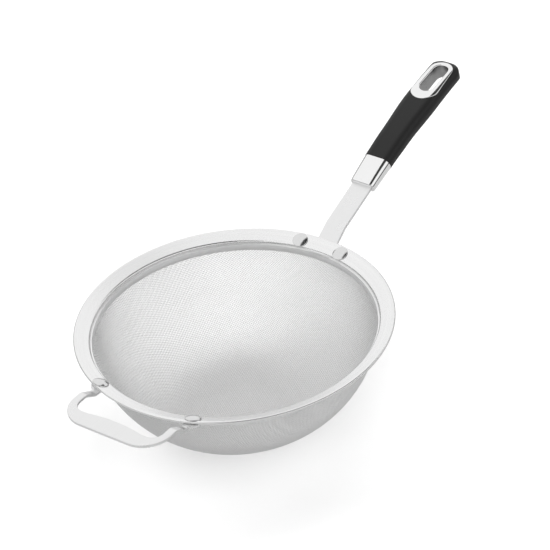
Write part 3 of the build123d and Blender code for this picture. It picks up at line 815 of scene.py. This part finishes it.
def even_loop(outline, count):
    """Closed outline re-read at even steps of its own length.

    The start is where it crosses the handle's middle line towards the tip.
    """
    loop = np.concatenate([outline, outline[:1]])
    length = lengths_along(loop)
    start = np.argmax(outline[:, 0] - 1e-3 * np.abs(outline[:, 1]))
    at = (np.linspace(0, 1, count, endpoint=False) * length[-1] + length[start]) % length[-1]
    return read_line(loop, length, at)


def lip_outline(count, grow=0.0):
    """Hull of two circles, the lip's foot and tip, as count points in (s, y)."""
    foot_r = LINER_LIP_FOOT_W / 2 + grow
    tip_r = LINER_LIP_TIP_W / 2 + grow
    foot_s = SLOT_AT + LINER_LIP_SHIFT - (LINER_LIP_L - LINER_LIP_FOOT_W) / 2
    tip_s = SLOT_AT + LINER_LIP_SHIFT + (LINER_LIP_L - LINER_LIP_TIP_W) / 2
    high = np.pi / 2 - np.arcsin((foot_r - tip_r) / (tip_s - foot_s))
    tip = turn_points((tip_s, 0), tip_r, -high, 2 * high, 120)
    foot = turn_points((foot_s, 0), foot_r, high, 2 * (np.pi - high), 160)
    return even_loop(np.concatenate([tip, foot]), count)


def slot_outline(count, grow=0.0):
    """Stadium of the hang slot as count points in (s, y), grown sideways if asked."""
    r = SLOT_W / 2 + grow
    reach = (SLOT_L - SLOT_W) / 2
    return even_loop(np.concatenate([
        turn_points((SLOT_AT + reach, 0), r, -np.pi / 2, np.pi, 80),
        turn_points((SLOT_AT - reach, 0), r, np.pi / 2, np.pi, 80)]), count)


def hole_points(rim, hole):
    """Point of the hole that each rim point looks at.

    The look goes towards the slot's middle line: its aim is the rim point's s drawn in to
    the hole's straight part, so the rings stay even along the sides.
    """
    reach = SLOT_L / 2 - SLOT_W / 2
    aim_s = np.clip(rim[:, 0], SLOT_AT - reach, SLOT_AT + reach)
    look = np.arctan2(rim[:, 1], rim[:, 0] - aim_s)
    aim = np.stack([aim_s, 0 * aim_s], axis=1)
    ray_s, ray_y = np.cos(look)[:, None], np.sin(look)[:, None]
    offset = hole[None] - aim[:, None]
    off_ray = np.abs(offset[..., 0] * ray_y - offset[..., 1] * ray_s)
    ahead = offset[..., 0] * ray_s + offset[..., 1] * ray_y
    return hole[np.argmin(off_ray + np.where(ahead > 0, 0, 1.0), axis=1)]


def grip_surface():
    """Grip skin: a plan grid from the ferrule to the slot's field, then rings from the
    grip's outline in to the slot, lifted to the top face and the bottom face.

    Both faces meet at the sides, and the slot's wall joins the lip's outline on top to
    the liner's outline below.
    """
    field_s = SLOT_AT - GRIP_FIELD_L
    across = np.sin(np.linspace(-np.pi / 2, np.pi / 2, 41))
    s = np.concatenate([
        FERRULE_L + GRIP_START_EDGE_R * np.linspace(0, 1, 5) ** 2,
        np.linspace(FERRULE_L + GRIP_START_EDGE_R, field_s, 56)[1:]])
    y = grip_size(s)[0][:, None] / 2 * across
    front = np.stack([s[:, None] + 0 * y, y], axis=-1)
    r = GRIP_TIP_CORNER_R
    side_s = np.linspace(field_s, GRIP_END - r, 40)[1:]
    corner = turn_points((GRIP_END - r, GRIP_TAIL_W / 2 - r), r, np.pi / 2, -np.pi / 2, 26)
    end_y = np.linspace(GRIP_TAIL_W / 2 - r, 0, 5)[1:-1]
    upper = np.concatenate([
        np.stack([side_s, grip_size(side_s)[0] / 2], axis=1), corner[1:],
        np.stack([np.full(len(end_y), GRIP_END), end_y], axis=1)])
    rim = np.concatenate([front[-1], upper, [(GRIP_END, 0.0)], (upper * [1, -1])[::-1]])
    share = 1 - np.cos(np.linspace(0, np.pi / 2, 15))
    near = share[:6] * GRIP_EDGE_SHARE
    share = np.concatenate([near, np.linspace(near[-1], 1, 18)[1:]])
    top, bottom = [
        rim + (hole_points(rim, hole) - rim) * share[:, None, None]
        for hole in (lip_outline(GRIP_LOOP, -GRIP_UNDERLAP),
                     slot_outline(GRIP_LOOP, LINER_WALL - GRIP_UNDERLAP))]
    blocks = []
    for rings, sign in ((top, 1), (bottom, -1)):
        blocks.append(ring_mesh(
            handle_points(front, sign * grip_half_depth(front)), False, False))
        blocks.append(ring_mesh(handle_points(rings, sign * grip_half_depth(rings)), False))
    side_front = np.concatenate([front[::-1, 0], front[0, 1:-1], front[:, -1]])
    for line in (side_front, rim[len(across) - 1:], rim[[-1, 0]]):
        up = np.linspace(-1, 1, 3)[:, None] * grip_half_depth(line)
        blocks.append(ring_mesh(handle_points(line + 0 * up[..., None], up), False, False))
    wall = np.stack([top[-1], bottom[-1]])
    blocks.append(ring_mesh(handle_points(wall, [[1], [-1]] * grip_half_depth(wall)), False))
    return joined(blocks)


def liner_surface():
    """Hang slot's liner: rings from under the lip, round its edge, over the lip, down
    through the slot, round the back edge and up the outside of its wall."""
    count = LINER_LOOP
    outer = lip_outline(count)
    crown = slot_outline(count, LIP_SLOT_R)
    inner = slot_outline(count)
    wall = slot_outline(count, LINER_WALL)
    rings = []

    def ring(plan, up):
        """Adds a plan outline (s, across) as a ring, lifted square to the handle."""
        rings.append(handle_points(plan, up))

    def drawn_in(distance):
        """Lip's outline drawn in by a distance towards the slot's middle line."""
        aim_s = np.clip(outer[:, 0], SLOT_AT - LIP_AIM_BACK, SLOT_AT + LIP_AIM_ON)
        aim = np.stack([aim_s, 0 * aim_s], axis=1)
        gap = np.linalg.norm(outer - aim, axis=1)[:, None]
        return outer + (aim - outer) * distance / gap

    ring(outer, grip_half_depth(outer) + LINER_PROUD - LINER_LIP_T)
    for inset, drop in zip(*edge_steps(LIP_EDGE_R, 6)):
        plan = drawn_in(inset)
        ring(plan, grip_half_depth(plan) + LINER_PROUD - drop)
    top = drawn_in(LIP_EDGE_R)
    for share in np.linspace(0, 1, 9)[1:]:
        plan = top + (crown - top) * share
        ring(plan, grip_half_depth(plan) + LINER_PROUD + LIP_BULGE * np.sin(np.pi * share))
    level = grip_half_depth(crown) + LINER_PROUD
    for fall, grow in list(zip(*edge_steps(LIP_SLOT_R, 9)))[1:]:
        ring(slot_outline(count, grow), level - fall)
    back = -(grip_half_depth(wall) + LINER_BACK_PROUD)
    high = level - LIP_SLOT_R
    for share in np.linspace(0, 1, 8)[1:-1]:
        ring(inner, high + (back + LINER_BACK_EDGE_R - high) * share)
    edge = list(zip(*edge_steps(LINER_BACK_EDGE_R, 4)))
    for inset, drop in edge:
        ring(slot_outline(count, inset), back + drop)
    for inset, drop in edge:
        ring(slot_outline(count, LINER_WALL - drop), back + inset)
    ring(wall, grip_half_depth(wall) + LINER_PROUD - LINER_LIP_T)
    return ring_mesh(rings)


def slot_depths(places):
    """Height of places above the mouth of the slot's wall, negative down inside the slot.

    A place counts as inside where it lies nearer to the slot's middle line than a third
    of the way through the liner's wall; elsewhere the height is zero.
    """
    angle = HANDLE_START_ANGLE - SLOT_AT / HANDLE_ARC_R
    away = places - handle_points(np.array([SLOT_AT, 0.0]), 0.0)
    along = away @ [cos(angle), 0, sin(angle)]
    up = away @ [-sin(angle), 0, cos(angle)]
    reach = (SLOT_L - SLOT_W) / 2
    gap = np.hypot(np.maximum(np.abs(along) - reach, 0), away[:, 1])
    return np.where(gap < SLOT_W / 2 + LINER_WALL / 3, up - GRIP_TAIL_D / 2 + LIP_SLOT_R, 0)


# Finishes


def feed(tree, socket, value):
    """Links another node's output to a socket, or sets a plain value."""
    if isinstance(value, bpy.types.NodeSocket):
        tree.links.new(value, socket)
    else:
        socket.default_value = value


def fill(tree, node, **values):
    """Feeds a node's named inputs."""
    for label, value in values.items():
        feed(tree, node.inputs[label.replace("_", " ")], value)
    return node


def add_node(tree, kind, **values):
    """New shader node with some of its inputs fed."""
    return fill(tree, tree.nodes.new("ShaderNode" + kind), **values)


def math_node(tree, operation, *values):
    """Math node fed by sockets or plain numbers; returns its output."""
    node = tree.nodes.new("ShaderNodeMath")
    node.operation = operation
    for socket, value in zip(node.inputs, values):
        feed(tree, socket, value)
    return node.outputs[0]


def scaled(tree, vector, factor):
    """Vector or colour times a factor."""
    node = tree.nodes.new("ShaderNodeVectorMath")
    node.operation = "SCALE"
    return fill(tree, node, Vector=vector, Scale=factor).outputs[0]


def noise(tree, vector, scale, detail, roughness=0.5):
    """Noise texture on a vector; returns its value output."""
    return add_node(tree, "TexNoise", Vector=vector, Scale=scale, Detail=detail,
                    Roughness=roughness).outputs[0]


def object_place(tree):
    """Place on the object, in metres."""
    return tree.nodes.new("ShaderNodeTexCoord").outputs["Object"]


def shader_group(name, inputs, outputs):
    """Empty node group with named inputs (with their defaults) and outputs."""
    tree = bpy.data.node_groups.new(name, "ShaderNodeTree")
    for in_out, labels in (("INPUT", inputs), ("OUTPUT", outputs)):
        for label in labels:
            kind = "NodeSocketColor" if label == "Colour" else "NodeSocketFloat"
            socket = tree.interface.new_socket(name=label, in_out=in_out, socket_type=kind)
            if in_out == "INPUT":
                socket.default_value = inputs[label]
    return tree, tree.nodes.new("NodeGroupInput").outputs, tree.nodes.new("NodeGroupOutput")


def grain_group(name):
    """Brushed grain, as a height and a slow tone.

    Turned on a spindle it is noise over (radius, height, angle), and straight it is noise
    stretched along X.
    """
    tree, given, end = shader_group(name, {"Lines per metre": 2600.0}, ("Height", "Tone"))
    x, y, z = add_node(tree, "SeparateXYZ", Vector=object_place(tree)).outputs
    lines = given["Lines per metre"]
    if name == "turned_grain":
        square = math_node(tree, "ADD", math_node(tree, "MULTIPLY", x, x),
                           math_node(tree, "MULTIPLY", y, y))
        radius = math_node(tree, "SQRT", square)
        place = (math_node(tree, "MULTIPLY", radius, lines),
                 math_node(tree, "MULTIPLY", z, lines),
                 math_node(tree, "MULTIPLY", math_node(tree, "ARCTAN2", y, x), TURNED_ROUND))
        tone_scale = TURNED_TONE_SCALE
    else:
        stretched = math_node(tree, "MULTIPLY", math_node(tree, "MULTIPLY", x, lines),
                              STRAIGHT_ALONG)
        place = (stretched, math_node(tree, "MULTIPLY", y, lines),
                 math_node(tree, "MULTIPLY", z, lines))
        tone_scale = STRAIGHT_TONE_SCALE
    vector = add_node(tree, "CombineXYZ", **dict(zip("XYZ", place))).outputs[0]
    fill(tree, end, Height=noise(tree, vector, 1.0, 3.0, 0.6),
         Tone=noise(tree, vector, tone_scale, 2.0))
    return tree


def skin_group(name):
    """Skin of moulded soft plastic: a fine pebble and a slow waviness as a height."""
    tree, given, end = shader_group(name, {"Lines per metre": 2500.0}, ("Height", "Tone"))
    vector = scaled(tree, object_place(tree), given["Lines per metre"])
    fine = noise(tree, vector, 1.0, 2.0)
    slow = math_node(tree, "MULTIPLY", noise(tree, vector, SKIN_WAVE_SCALE, 2.0),
                     SKIN_WAVE_SHARE)
    fill(tree, end, Height=math_node(tree, "ADD", fine, slow), Tone=fine)
    return tree


def marks_group(name):
    """Marks of use: broad wiped patches and sparse fine specks, as a roughness change."""
    tree, given, end = shader_group(
        name, {"Patch size": 0.02, "Amount": 0.1, "Roughness": 0.3}, ("Roughness", "Mask"))
    vector = scaled(tree, object_place(tree),
                    math_node(tree, "DIVIDE", 1.0, given["Patch size"]))
    broad = noise(tree, vector, 1.0, 4.0, 0.55)
    specks = math_node(tree, "SUBTRACT", noise(tree, vector, SPECK_SCALE, 2.0), SPECK_LEVEL)
    rare = math_node(tree, "MULTIPLY", math_node(tree, "MAXIMUM", specks, 0.0), SPECK_GAIN)
    mask = math_node(tree, "ADD", math_node(tree, "SUBTRACT", broad, 0.5), rare)
    change = math_node(tree, "MULTIPLY", mask, given["Amount"])
    total = math_node(tree, "ADD", given["Roughness"], change)
    clamp = add_node(tree, "Clamp", Value=total, Min=LEAST_ROUGHNESS)
    fill(tree, end, Roughness=clamp.outputs[0], Mask=mask)
    return tree


def tone_group(name):
    """Two tones of one colour mixed by a mask about one half."""
    tree, given, end = shader_group(
        name, {"Colour": (0.8, 0.8, 0.8, 1), "Mask": 0.5, "Spread": 0.1}, ("Colour",))
    off = math_node(tree, "MULTIPLY", math_node(tree, "SUBTRACT", given["Mask"], 0.5),
                    given["Spread"])
    fill(tree, end, Colour=scaled(tree, given["Colour"], math_node(tree, "ADD", 1.0, off)))
    return tree


GROUPS = {
    "turned_grain": grain_group,
    "straight_grain": grain_group,
    "moulded_skin": skin_group,
    "handling_marks": marks_group,
    "two_tones": tone_group,
}


def group_node(tree, name, **values):
    """Places a shared group in a material, building it the first time."""
    node = tree.nodes.new("ShaderNodeGroup")
    node.node_tree = bpy.data.node_groups.get(name) or GROUPS[name](name)
    return fill(tree, node, **values).outputs


def new_material(name):
    """Material with its node tree and main shader."""
    material = bpy.data.materials.new(name)
    material.use_nodes = True
    tree = material.node_tree
    return material, tree, tree.nodes["Principled BSDF"]


def glow_material(name, strength):
    """Material that only glows; the strength comes as a number or from a function."""
    material, tree, shader = new_material(name)
    tree.nodes.remove(shader)
    glow = add_node(tree, "Emission", Strength=strength(tree) if callable(strength) else strength)
    fill(tree, tree.nodes["Material Output"], Surface=glow.outputs[0])
    return material


def finish_of(context, name):
    """Material of one finish, made the first time: two tones of its colour, marks, grain.

    The grain's noise has so many lines per metre, or one per pebble where it is a skin.
    """
    if name in bpy.data.materials:
        return bpy.data.materials[name]
    owner, prefix, metallic, specular, grain, (patch, amount, spread) = FINISHES[name]
    group = getattr(context.scene, "strainer_" + owner)
    material, tree, shader = new_material(name)
    marks = group_node(tree, "handling_marks", Patch_size=patch, Amount=amount,
                       Roughness=getattr(group, prefix + "roughness"))
    if grain:
        kind, lines, height, strength = grain
        lines = lines or 1 / getattr(group, prefix + "pebble")
        texture = group_node(tree, kind, Lines_per_metre=lines)
        mask = texture["Tone"]
        relief = add_node(tree, "Bump", Strength=strength, Distance=height,
                          Height=texture["Height"])
        fill(tree, shader, Normal=relief.outputs["Normal"])
    else:
        mask = math_node(tree, "ADD", marks["Mask"], 0.5)
    colour = (*getattr(group, prefix + "colour"), 1.0)
    tones = group_node(tree, "two_tones", Colour=colour, Spread=spread, Mask=mask)
    fill(tree, shader, Metallic=metallic, Specular_IOR_Level=specular,
         Roughness=marks["Roughness"], Base_Color=tones["Colour"])
    return material


# Settings shown in the sidebar


def number_setting(name, text, value, low, high, kind="NONE"):
    """Setting for one number; kind is its subtype."""
    units = {"DISTANCE": "LENGTH", "ANGLE": "ROTATION", "POWER": "POWER"}
    return bpy.props.FloatProperty(name=name, description=text, default=value, min=low,
                                   max=high, subtype=kind, unit=units.get(kind, "NONE"))


def colour_setting(name, text, grey):
    """Setting for a colour that is grey by default."""
    return bpy.props.FloatVectorProperty(name=name, description=text, size=3,
                                         subtype="COLOR", default=(grey, grey, grey),
                                         min=0, max=1)


class StrainerClothSettings(bpy.types.PropertyGroup):
    """Sizes and finish of the woven bowl."""

    pitch: number_setting(
        "Pitch", "Distance between neighbouring wires before the cloth is drawn",
        0.0014, 0.0014, 0.0050, "DISTANCE")
    wire: number_setting("Wire", "Diameter of one wire", 0.0004, 0.0002, 0.00045, "DISTANCE")
    turn: number_setting(
        "Turn", "Direction of the first family of wires, from the long handle",
        CLOTH_TURN, 0, radians(180), "ANGLE")
    sides: bpy.props.IntProperty(
        name="Sides", description="Faces round one wire", default=4, min=4, max=6)
    colour: colour_setting("Colour", "Colour of the wire", 0.72)
    roughness: number_setting("Roughness", "Roughness of the wire", 0.38, 0.03, 1, "FACTOR")


class StrainerSteelSettings(bpy.types.PropertyGroup):
    """Colours and roughness of the metal pieces."""

    rim_colour: colour_setting("Rim", "Colour of the rim", 0.86)
    rim_roughness: number_setting(
        "Rim roughness", "Roughness of the rim", 0.24, 0.03, 1, "FACTOR")
    band_colour: colour_setting("Band", "Colour of the clamp band", 0.96)
    band_roughness: number_setting(
        "Band roughness", "Roughness of the clamp band", 0.36, 0.03, 1, "FACTOR")
    rivet_colour: colour_setting("Rivets", "Colour of the rivets", 0.72)
    rivet_roughness: number_setting(
        "Rivet roughness", "Roughness of the rivets", 0.16, 0.03, 1, "FACTOR")
    plate_colour: colour_setting("Plates", "Colour of both handles' plates", 0.82)
    plate_roughness: number_setting(
        "Plate roughness", "Roughness of both handles' plates", 0.28, 0.03, 1, "FACTOR")
    cap_colour: colour_setting("Caps", "Colour of the ferrule and the hang slot's liner", 0.88)
    cap_roughness: number_setting(
        "Cap roughness", "Roughness of the ferrule and the liner", 0.09, 0.03, 1, "FACTOR")
    # The dark grey of the liner inside the slot is painted shade of the recess, not a colour of
    # its own
    painted_shade_wall_colour: colour_setting("Slot wall", "Colour of the liner inside the slot", 0.34)
    painted_shade_wall_roughness: number_setting(
        "Slot wall roughness", "Roughness of the liner inside the slot",
        0.34, 0.03, 1, "FACTOR")


class StrainerGripSettings(bpy.types.PropertyGroup):
    """Colour and skin of the grip and of its core."""

    colour: colour_setting("Colour", "Colour of the soft skin", 0.011)
    roughness: number_setting(
        "Roughness", "Roughness of the soft skin", 0.46, 0.1, 1, "FACTOR")
    pebble: number_setting("Pebble", "Size of the skin's fine pebble",
                           0.0004, 0.0001, 0.002, "DISTANCE")
    core_colour: colour_setting("Core", "Colour of the stiff core", 0.03)
    core_roughness: number_setting(
        "Core roughness", "Roughness of the stiff core", 0.5, 0.1, 1, "FACTOR")
    core_pebble: number_setting("Core pebble", "Size of the core's fine pebble",
                                0.0008, 0.0001, 0.002, "DISTANCE")


class StrainerStageSettings(bpy.types.PropertyGroup):
    """Floor, lamps and background."""

    floor_colour: colour_setting("Floor", "Colour of the floor", 0.86)
    floor_dimming: number_setting(
        "Floor dimming", "How much darker the metal mirrors the floor", 0.36, 0, 1, "FACTOR")
    sky_light: number_setting(
        "Sky light", "Light that the white surroundings give", 0.60, 0, 2)
    key_power: number_setting(
        "Key lamp", "Power of the large soft lamp", 32.0, 0, 200, "POWER")
    fill_power: number_setting(
        "Fill lamps", "Power of each weak lamp at the side and in front",
        22.0, 0, 200, "POWER")
    lamp_size: number_setting("Lamp size", "Side of each soft lamp", 1.8, 0.1, 5, "DISTANCE")
    card_height: number_setting(
        "Card height", "Height of the dark card overhead", 2.2, 1, 5, "DISTANCE")
    card_light: number_setting("Card light", "Brightness of the dark card", 0.06, 0, 1)
    screen_radius: number_setting(
        "Screen radius", "Distance of the low dark screen that the metal mirrors",
        2.6, 1, 10, "DISTANCE")
    screen_height: number_setting(
        "Screen height", "Height of the low dark screen", 0.75, 0.1, 3, "DISTANCE")
    screen_gap: number_setting(
        "Screen gap", "Angle that the low dark screen leaves open",
        radians(42.0), 0, radians(180), "ANGLE")


# Set, lamps and camera


def set_item(name, points, quads, material):
    """Item of the set from points, faces and a material."""
    mesh = bpy.data.meshes.new(name)
    mesh.from_pydata(points, [], quads)
    item = bpy.data.objects.new(name, mesh)
    bpy.context.scene.collection.objects.link(item)
    mesh.materials.append(material)
    return item


def level_sheet(xs, ys, z):
    """Corners and face of a level rectangle."""
    (x0, x1), (y0, y1) = xs, ys
    return [(x0, y0, z), (x1, y0, z), (x1, y1, z), (x0, y1, z)], [(0, 1, 2, 3)]


def seen_by(tree, *rays):
    """One for the named kinds of ray, and zero for the others."""
    path = tree.nodes.new("ShaderNodeLightPath").outputs
    seen = path[f"Is {rays[0]} Ray"]
    for ray in rays[1:]:
        seen = math_node(tree, "MAXIMUM", seen, path[f"Is {ray} Ray"])
    return seen


def mirrored_only(item):
    """Leaves an item to the metal's reflections alone."""
    item.visible_camera = False
    item.visible_diffuse = False
    item.visible_shadow = False
    item.visible_transmission = False


def lay_floor(stage):
    """Pale floor that glows a little to the camera and is dimmed in reflections."""
    material, tree, shader = new_material("pale_floor")
    mirrored = math_node(tree, "MULTIPLY", seen_by(tree, "Glossy"), stage.floor_dimming)
    colour = scaled(tree, stage.floor_colour, math_node(tree, "SUBTRACT", 1.0, mirrored))
    glow = math_node(tree, "MULTIPLY", seen_by(tree, "Camera", "Transmission"), FLOOR_GLOW)
    fill(tree, shader, Roughness=1.0, Specular_IOR_Level=0.0, Base_Color=colour,
         Emission_Color=(1, 1, 1, 1), Emission_Strength=glow)
    sides = (-FLOOR_HALF, FLOOR_HALF)
    set_item("floor", *level_sheet(sides, sides, 0), material)


def hang_card(stage):
    """Dark card overhead, the gap between soft lamps that polished metal mirrors."""
    material = glow_material("dark_card", stage.card_light)
    mirrored_only(set_item(
        "overhead_card", *level_sheet(CARD_X, CARD_Y, stage.card_height), material))


def stand_screen(stage):
    """Low dark screen round the set, seen only in the metal's reflections.

    It is open on the side away from the camera, which the near flange mirrors. It glows
    more towards its top: low glow plus the top's glow times a power of the height's share.
    """
    def strength(tree):
        """Glow at a point of the screen, from its share of the screen's height."""
        height = add_node(tree, "SeparateXYZ", Vector=object_place(tree)).outputs[2]
        share = math_node(tree, "DIVIDE", height, stage.screen_height)
        curve = math_node(tree, "POWER", share, SCREEN_CURVE)
        return math_node(tree, "ADD", math_node(tree, "MULTIPLY", curve, SCREEN_TOP_GLOW),
                         SCREEN_GLOW)

    away = np.arctan2(CAMERA_FORWARD[1], CAMERA_FORWARD[0])
    half = stage.screen_gap / 2
    r = stage.screen_radius
    t = np.linspace(away + half, away + 2 * np.pi - half, 96)[None]
    z = np.linspace(0.0, stage.screen_height, 9)[:, None]
    points, quads = ring_mesh(
        np.stack([r * np.cos(t) + 0 * z, r * np.sin(t) + 0 * z, z + 0 * t], axis=-1),
        False, False)
    mirrored_only(set_item("low_screen", points.tolist(), quads.tolist(),
                           glow_material("dark_screen", strength)))


def light_world(scene, stage):
    """White surroundings, dimmer as a light than as they look."""
    world = bpy.data.worlds.new("white_surroundings")
    world.use_nodes = True
    tree = world.node_tree
    seen = seen_by(tree, "Camera", "Glossy", "Transmission")
    gain = math_node(tree, "MULTIPLY", seen, 1.0 - stage.sky_light)
    fill(tree, tree.nodes["Background"], Color=(1, 1, 1, 1),
         Strength=math_node(tree, "ADD", gain, stage.sky_light))
    scene.world = world


def hang_lamp(name, place, size, power):
    """Square soft lamp aimed at the object, kept out of the metal's reflections."""
    lamp = bpy.data.lights.new(name, "AREA")
    lamp.shape = "SQUARE"
    lamp.size = size
    lamp.energy = power
    item = bpy.data.objects.new(name, lamp)
    bpy.context.scene.collection.objects.link(item)
    item.location = place
    aim = Vector(LAMP_AIM) - Vector(place)
    item.rotation_euler = aim.to_track_quat("-Z", "Y").to_euler()
    item.visible_glossy = False


def set_camera(scene):
    """Camera at the photograph's viewing angle."""
    lens = bpy.data.cameras.new("photo_camera")
    lens.sensor_width = SENSOR_MM
    lens.lens = FOCAL_PIXELS / IMAGE_SIDE * SENSOR_MM
    lens.clip_end = CAMERA_FAR
    camera = bpy.data.objects.new("photo_camera", lens)
    scene.collection.objects.link(camera)
    turn = Matrix((CAMERA_RIGHT, [-v for v in CAMERA_DOWN],
                   [-v for v in CAMERA_FORWARD])).transposed()
    camera.matrix_world = Matrix.Translation(CAMERA_PLACE) @ turn.to_4x4()
    scene.camera = camera


# One operator for each piece or group of like pieces, and one for the stage


class STRAINER_OT_stage(bpy.types.Operator):
    """Lay the pale floor, set the soft lamps and place the camera"""

    bl_idname = "strainer.stage"
    bl_label = "Stage"

    def execute(self, context):
        scene = context.scene
        stage = scene.strainer_stage
        lay_floor(stage)
        stand_screen(stage)
        hang_card(stage)
        light_world(scene, stage)
        for name, (place, power) in LAMPS.items():
            hang_lamp(name, place, stage.lamp_size, getattr(stage, power))
        set_camera(scene)
        scene.view_settings.view_transform = "Standard"
        return {"FINISHED"}


class STRAINER_OT_woven_bowl(bpy.types.Operator):
    """Weave the bowl: two families of wires over and under each other"""

    bl_idname = "strainer.woven_bowl"
    bl_label = "Woven Bowl"

    def execute(self, context):
        cloth = context.scene.strainer_cloth
        material = finish_of(context, "woven_steel")
        for family, turn in (("warp", cloth.turn), ("weft", cloth.turn + radians(90))):
            points, quads, caps, firsts = wire_family(
                cloth.pitch, cloth.wire, cloth.sides, turn)
            shares = np.arange(1, CLOTH_CUTS) / CLOTH_CUTS * len(points)
            cuts = [0, *firsts[np.searchsorted(firsts, shares)], len(points)]
            for n, (low, high) in enumerate(zip(cuts, cuts[1:]), 1):
                part, faces = cut_run(points, (quads, caps), low, high)
                make_piece(f"bowl_{family}_wires_{n}", part, faces, material,
                           ("mesh_basket",), weld=None)
        return {"FINISHED"}


class STRAINER_OT_rim(bpy.types.Operator):
    """Make the pressed rim with its curled edge, and the band that clamps the cloth"""

    bl_idname = "strainer.rim"
    bl_label = "Rim and Clamp Band"

    def execute(self, context):
        points, quads = lathe(rim_outline(), LATHE_STEPS)
        make_piece("rim_pressed_sheet", points, (quads,), finish_of(context, "rim_steel"),
                   ("rim_flange",), CREASE)
        points, quads = lathe(band_outline(), LATHE_STEPS)
        make_piece("clamp_band_strip", points, (quads,), finish_of(context, "band_steel"),
                   ("clamp_band",), SMALL_CREASE)
        return {"FINISHED"}


class STRAINER_OT_rivets(bpy.types.Operator):
    """Set the four domed rivets through the rim and both handles' feet"""

    bl_idname = "strainer.rivets"
    bl_label = "Rivets"

    def execute(self, context):
        pairs = (
            ("long_handle_rivet_pair", "long_handle_rivets",
             rivet_pair(LONG_RIVET_R, 0.0, LONG_RIVET_ANGLE)),
            ("helper_rivet_pair", "helper_rivets",
             rivet_pair(HELPER_RIVET_R, np.pi, HELPER_RIVET_ANGLE)),
        )
        for name, node, (points, quads) in pairs:
            make_piece(name, points, (quads,), finish_of(context, "rivet_steel"),
                       (node,), SMALL_CREASE, WELD)
        return {"FINISHED"}


class STRAINER_OT_tang(bpy.types.Operator):
    """Bend the long handle's tang from its foot under the rim up to the ferrule"""

    bl_idname = "strainer.tang"
    bl_label = "Long Handle Tang"

    def execute(self, context):
        points, quads = tang_surface()
        make_piece("long_handle_plate", points, (quads,), finish_of(context, "plate_steel"),
                   ("long_handle_tang",), CREASE, WELD)
        return {"FINISHED"}


class STRAINER_OT_helper(bpy.types.Operator):
    """Form the helper handle: tabs under the rim, raised arms and a swelling bar"""

    bl_idname = "strainer.helper"
    bl_label = "Helper Handle"

    def execute(self, context):
        points, quads = helper_surface()
        make_piece("helper_handle_plate", points, (quads,), finish_of(context, "plate_steel"),
                   ("helper_handle",), CREASE, WELD)
        return {"FINISHED"}


class STRAINER_OT_ferrule(bpy.types.Operator):
    """Draw the tapered ferrule that closes the grip's front end"""

    bl_idname = "strainer.ferrule"
    bl_label = "Ferrule"

    def execute(self, context):
        points, quads = ferrule_surface()
        make_piece("ferrule_sleeve", points, (quads,), finish_of(context, "cap_chrome"),
                   ("ferrule",), CREASE)
        return {"FINISHED"}


class STRAINER_OT_grip(bpy.types.Operator):
    """Mould the grip's soft skin with its slot, and finish the stiff core inside"""

    bl_idname = "strainer.grip"
    bl_label = "Grip"

    def execute(self, context):
        points, quads = grip_surface()
        make_piece("grip_soft_skin", points, (quads,), finish_of(context, "soft_skin"),
                   ("grip_skin",), GRIP_CREASE, GRIP_WELD)
        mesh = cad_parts["grip_core"].data
        mesh.materials.clear()
        mesh.materials.append(finish_of(context, "core_nylon"))
        return {"FINISHED"}


class STRAINER_OT_liner(bpy.types.Operator):
    """Press the hang slot's bright liner with its lip"""

    bl_idname = "strainer.liner"
    bl_label = "Hang Slot Liner"

    def execute(self, context):
        points, quads = liner_surface()
        liner = make_piece(
            "hang_slot_liner", points, (quads,), finish_of(context, "cap_chrome"),
            ("hang_liner",), CREASE)
        mesh = liner.data
        # Faces down inside the slot take the darker copy of the chrome: painted shade of the
        # recess
        mesh.materials.append(finish_of(context, "liner_inner_wall"))
        centres = np.zeros(len(mesh.polygons) * 3)
        mesh.polygons.foreach_get("center", centres)
        inside = slot_depths(centres.reshape(-1, 3)) < 0
        mesh.polygons.foreach_set("material_index", inside.astype(np.int32))
        return {"FINISHED"}


OPERATORS = (
    STRAINER_OT_stage, STRAINER_OT_woven_bowl, STRAINER_OT_rim, STRAINER_OT_rivets,
    STRAINER_OT_tang, STRAINER_OT_helper, STRAINER_OT_ferrule, STRAINER_OT_grip,
    STRAINER_OT_liner,
)
GROUPS_OF_SETTINGS = {
    "strainer_cloth": StrainerClothSettings,
    "strainer_steel": StrainerSteelSettings,
    "strainer_grip": StrainerGripSettings,
    "strainer_stage": StrainerStageSettings,
}


class STRAINER_PT_panel(bpy.types.Panel):
    """Lists the strainer's settings and pieces"""

    bl_idname = "STRAINER_PT_panel"
    bl_label = "Mesh Strainer"
    bl_space_type = "VIEW_3D"
    bl_region_type = "UI"
    bl_category = "Strainer"

    def draw(self, context):
        """Draws a box for each group of settings, then a button for each operator."""
        for owner in GROUPS_OF_SETTINGS:
            box = self.layout.box()
            group = getattr(context.scene, owner)
            for name in group.__annotations__:
                box.prop(group, name)
        for operator in OPERATORS:
            self.layout.operator(operator.bl_idname)


CLASSES = (*GROUPS_OF_SETTINGS.values(), *OPERATORS, STRAINER_PT_panel)


def register():
    """Registers the classes and hangs each group of settings on the scene."""
    for item in CLASSES:
        bpy.utils.register_class(item)
    for owner, group in GROUPS_OF_SETTINGS.items():
        setattr(bpy.types.Scene, owner, bpy.props.PointerProperty(type=group))


def unregister():
    """Takes the groups of settings off the scene and unregisters the classes."""
    for owner in GROUPS_OF_SETTINGS:
        delattr(bpy.types.Scene, owner)
    for item in reversed(CLASSES):
        bpy.utils.unregister_class(item)


def main():
    """Registers the classes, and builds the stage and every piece."""
    register()
    bpy.ops.strainer.stage()
    bpy.ops.strainer.woven_bowl()
    bpy.ops.strainer.rim()
    bpy.ops.strainer.rivets()
    bpy.ops.strainer.tang()
    bpy.ops.strainer.helper()
    bpy.ops.strainer.ferrule()
    bpy.ops.strainer.grip()
    bpy.ops.strainer.liner()


if __name__ == "__main__":
    main()
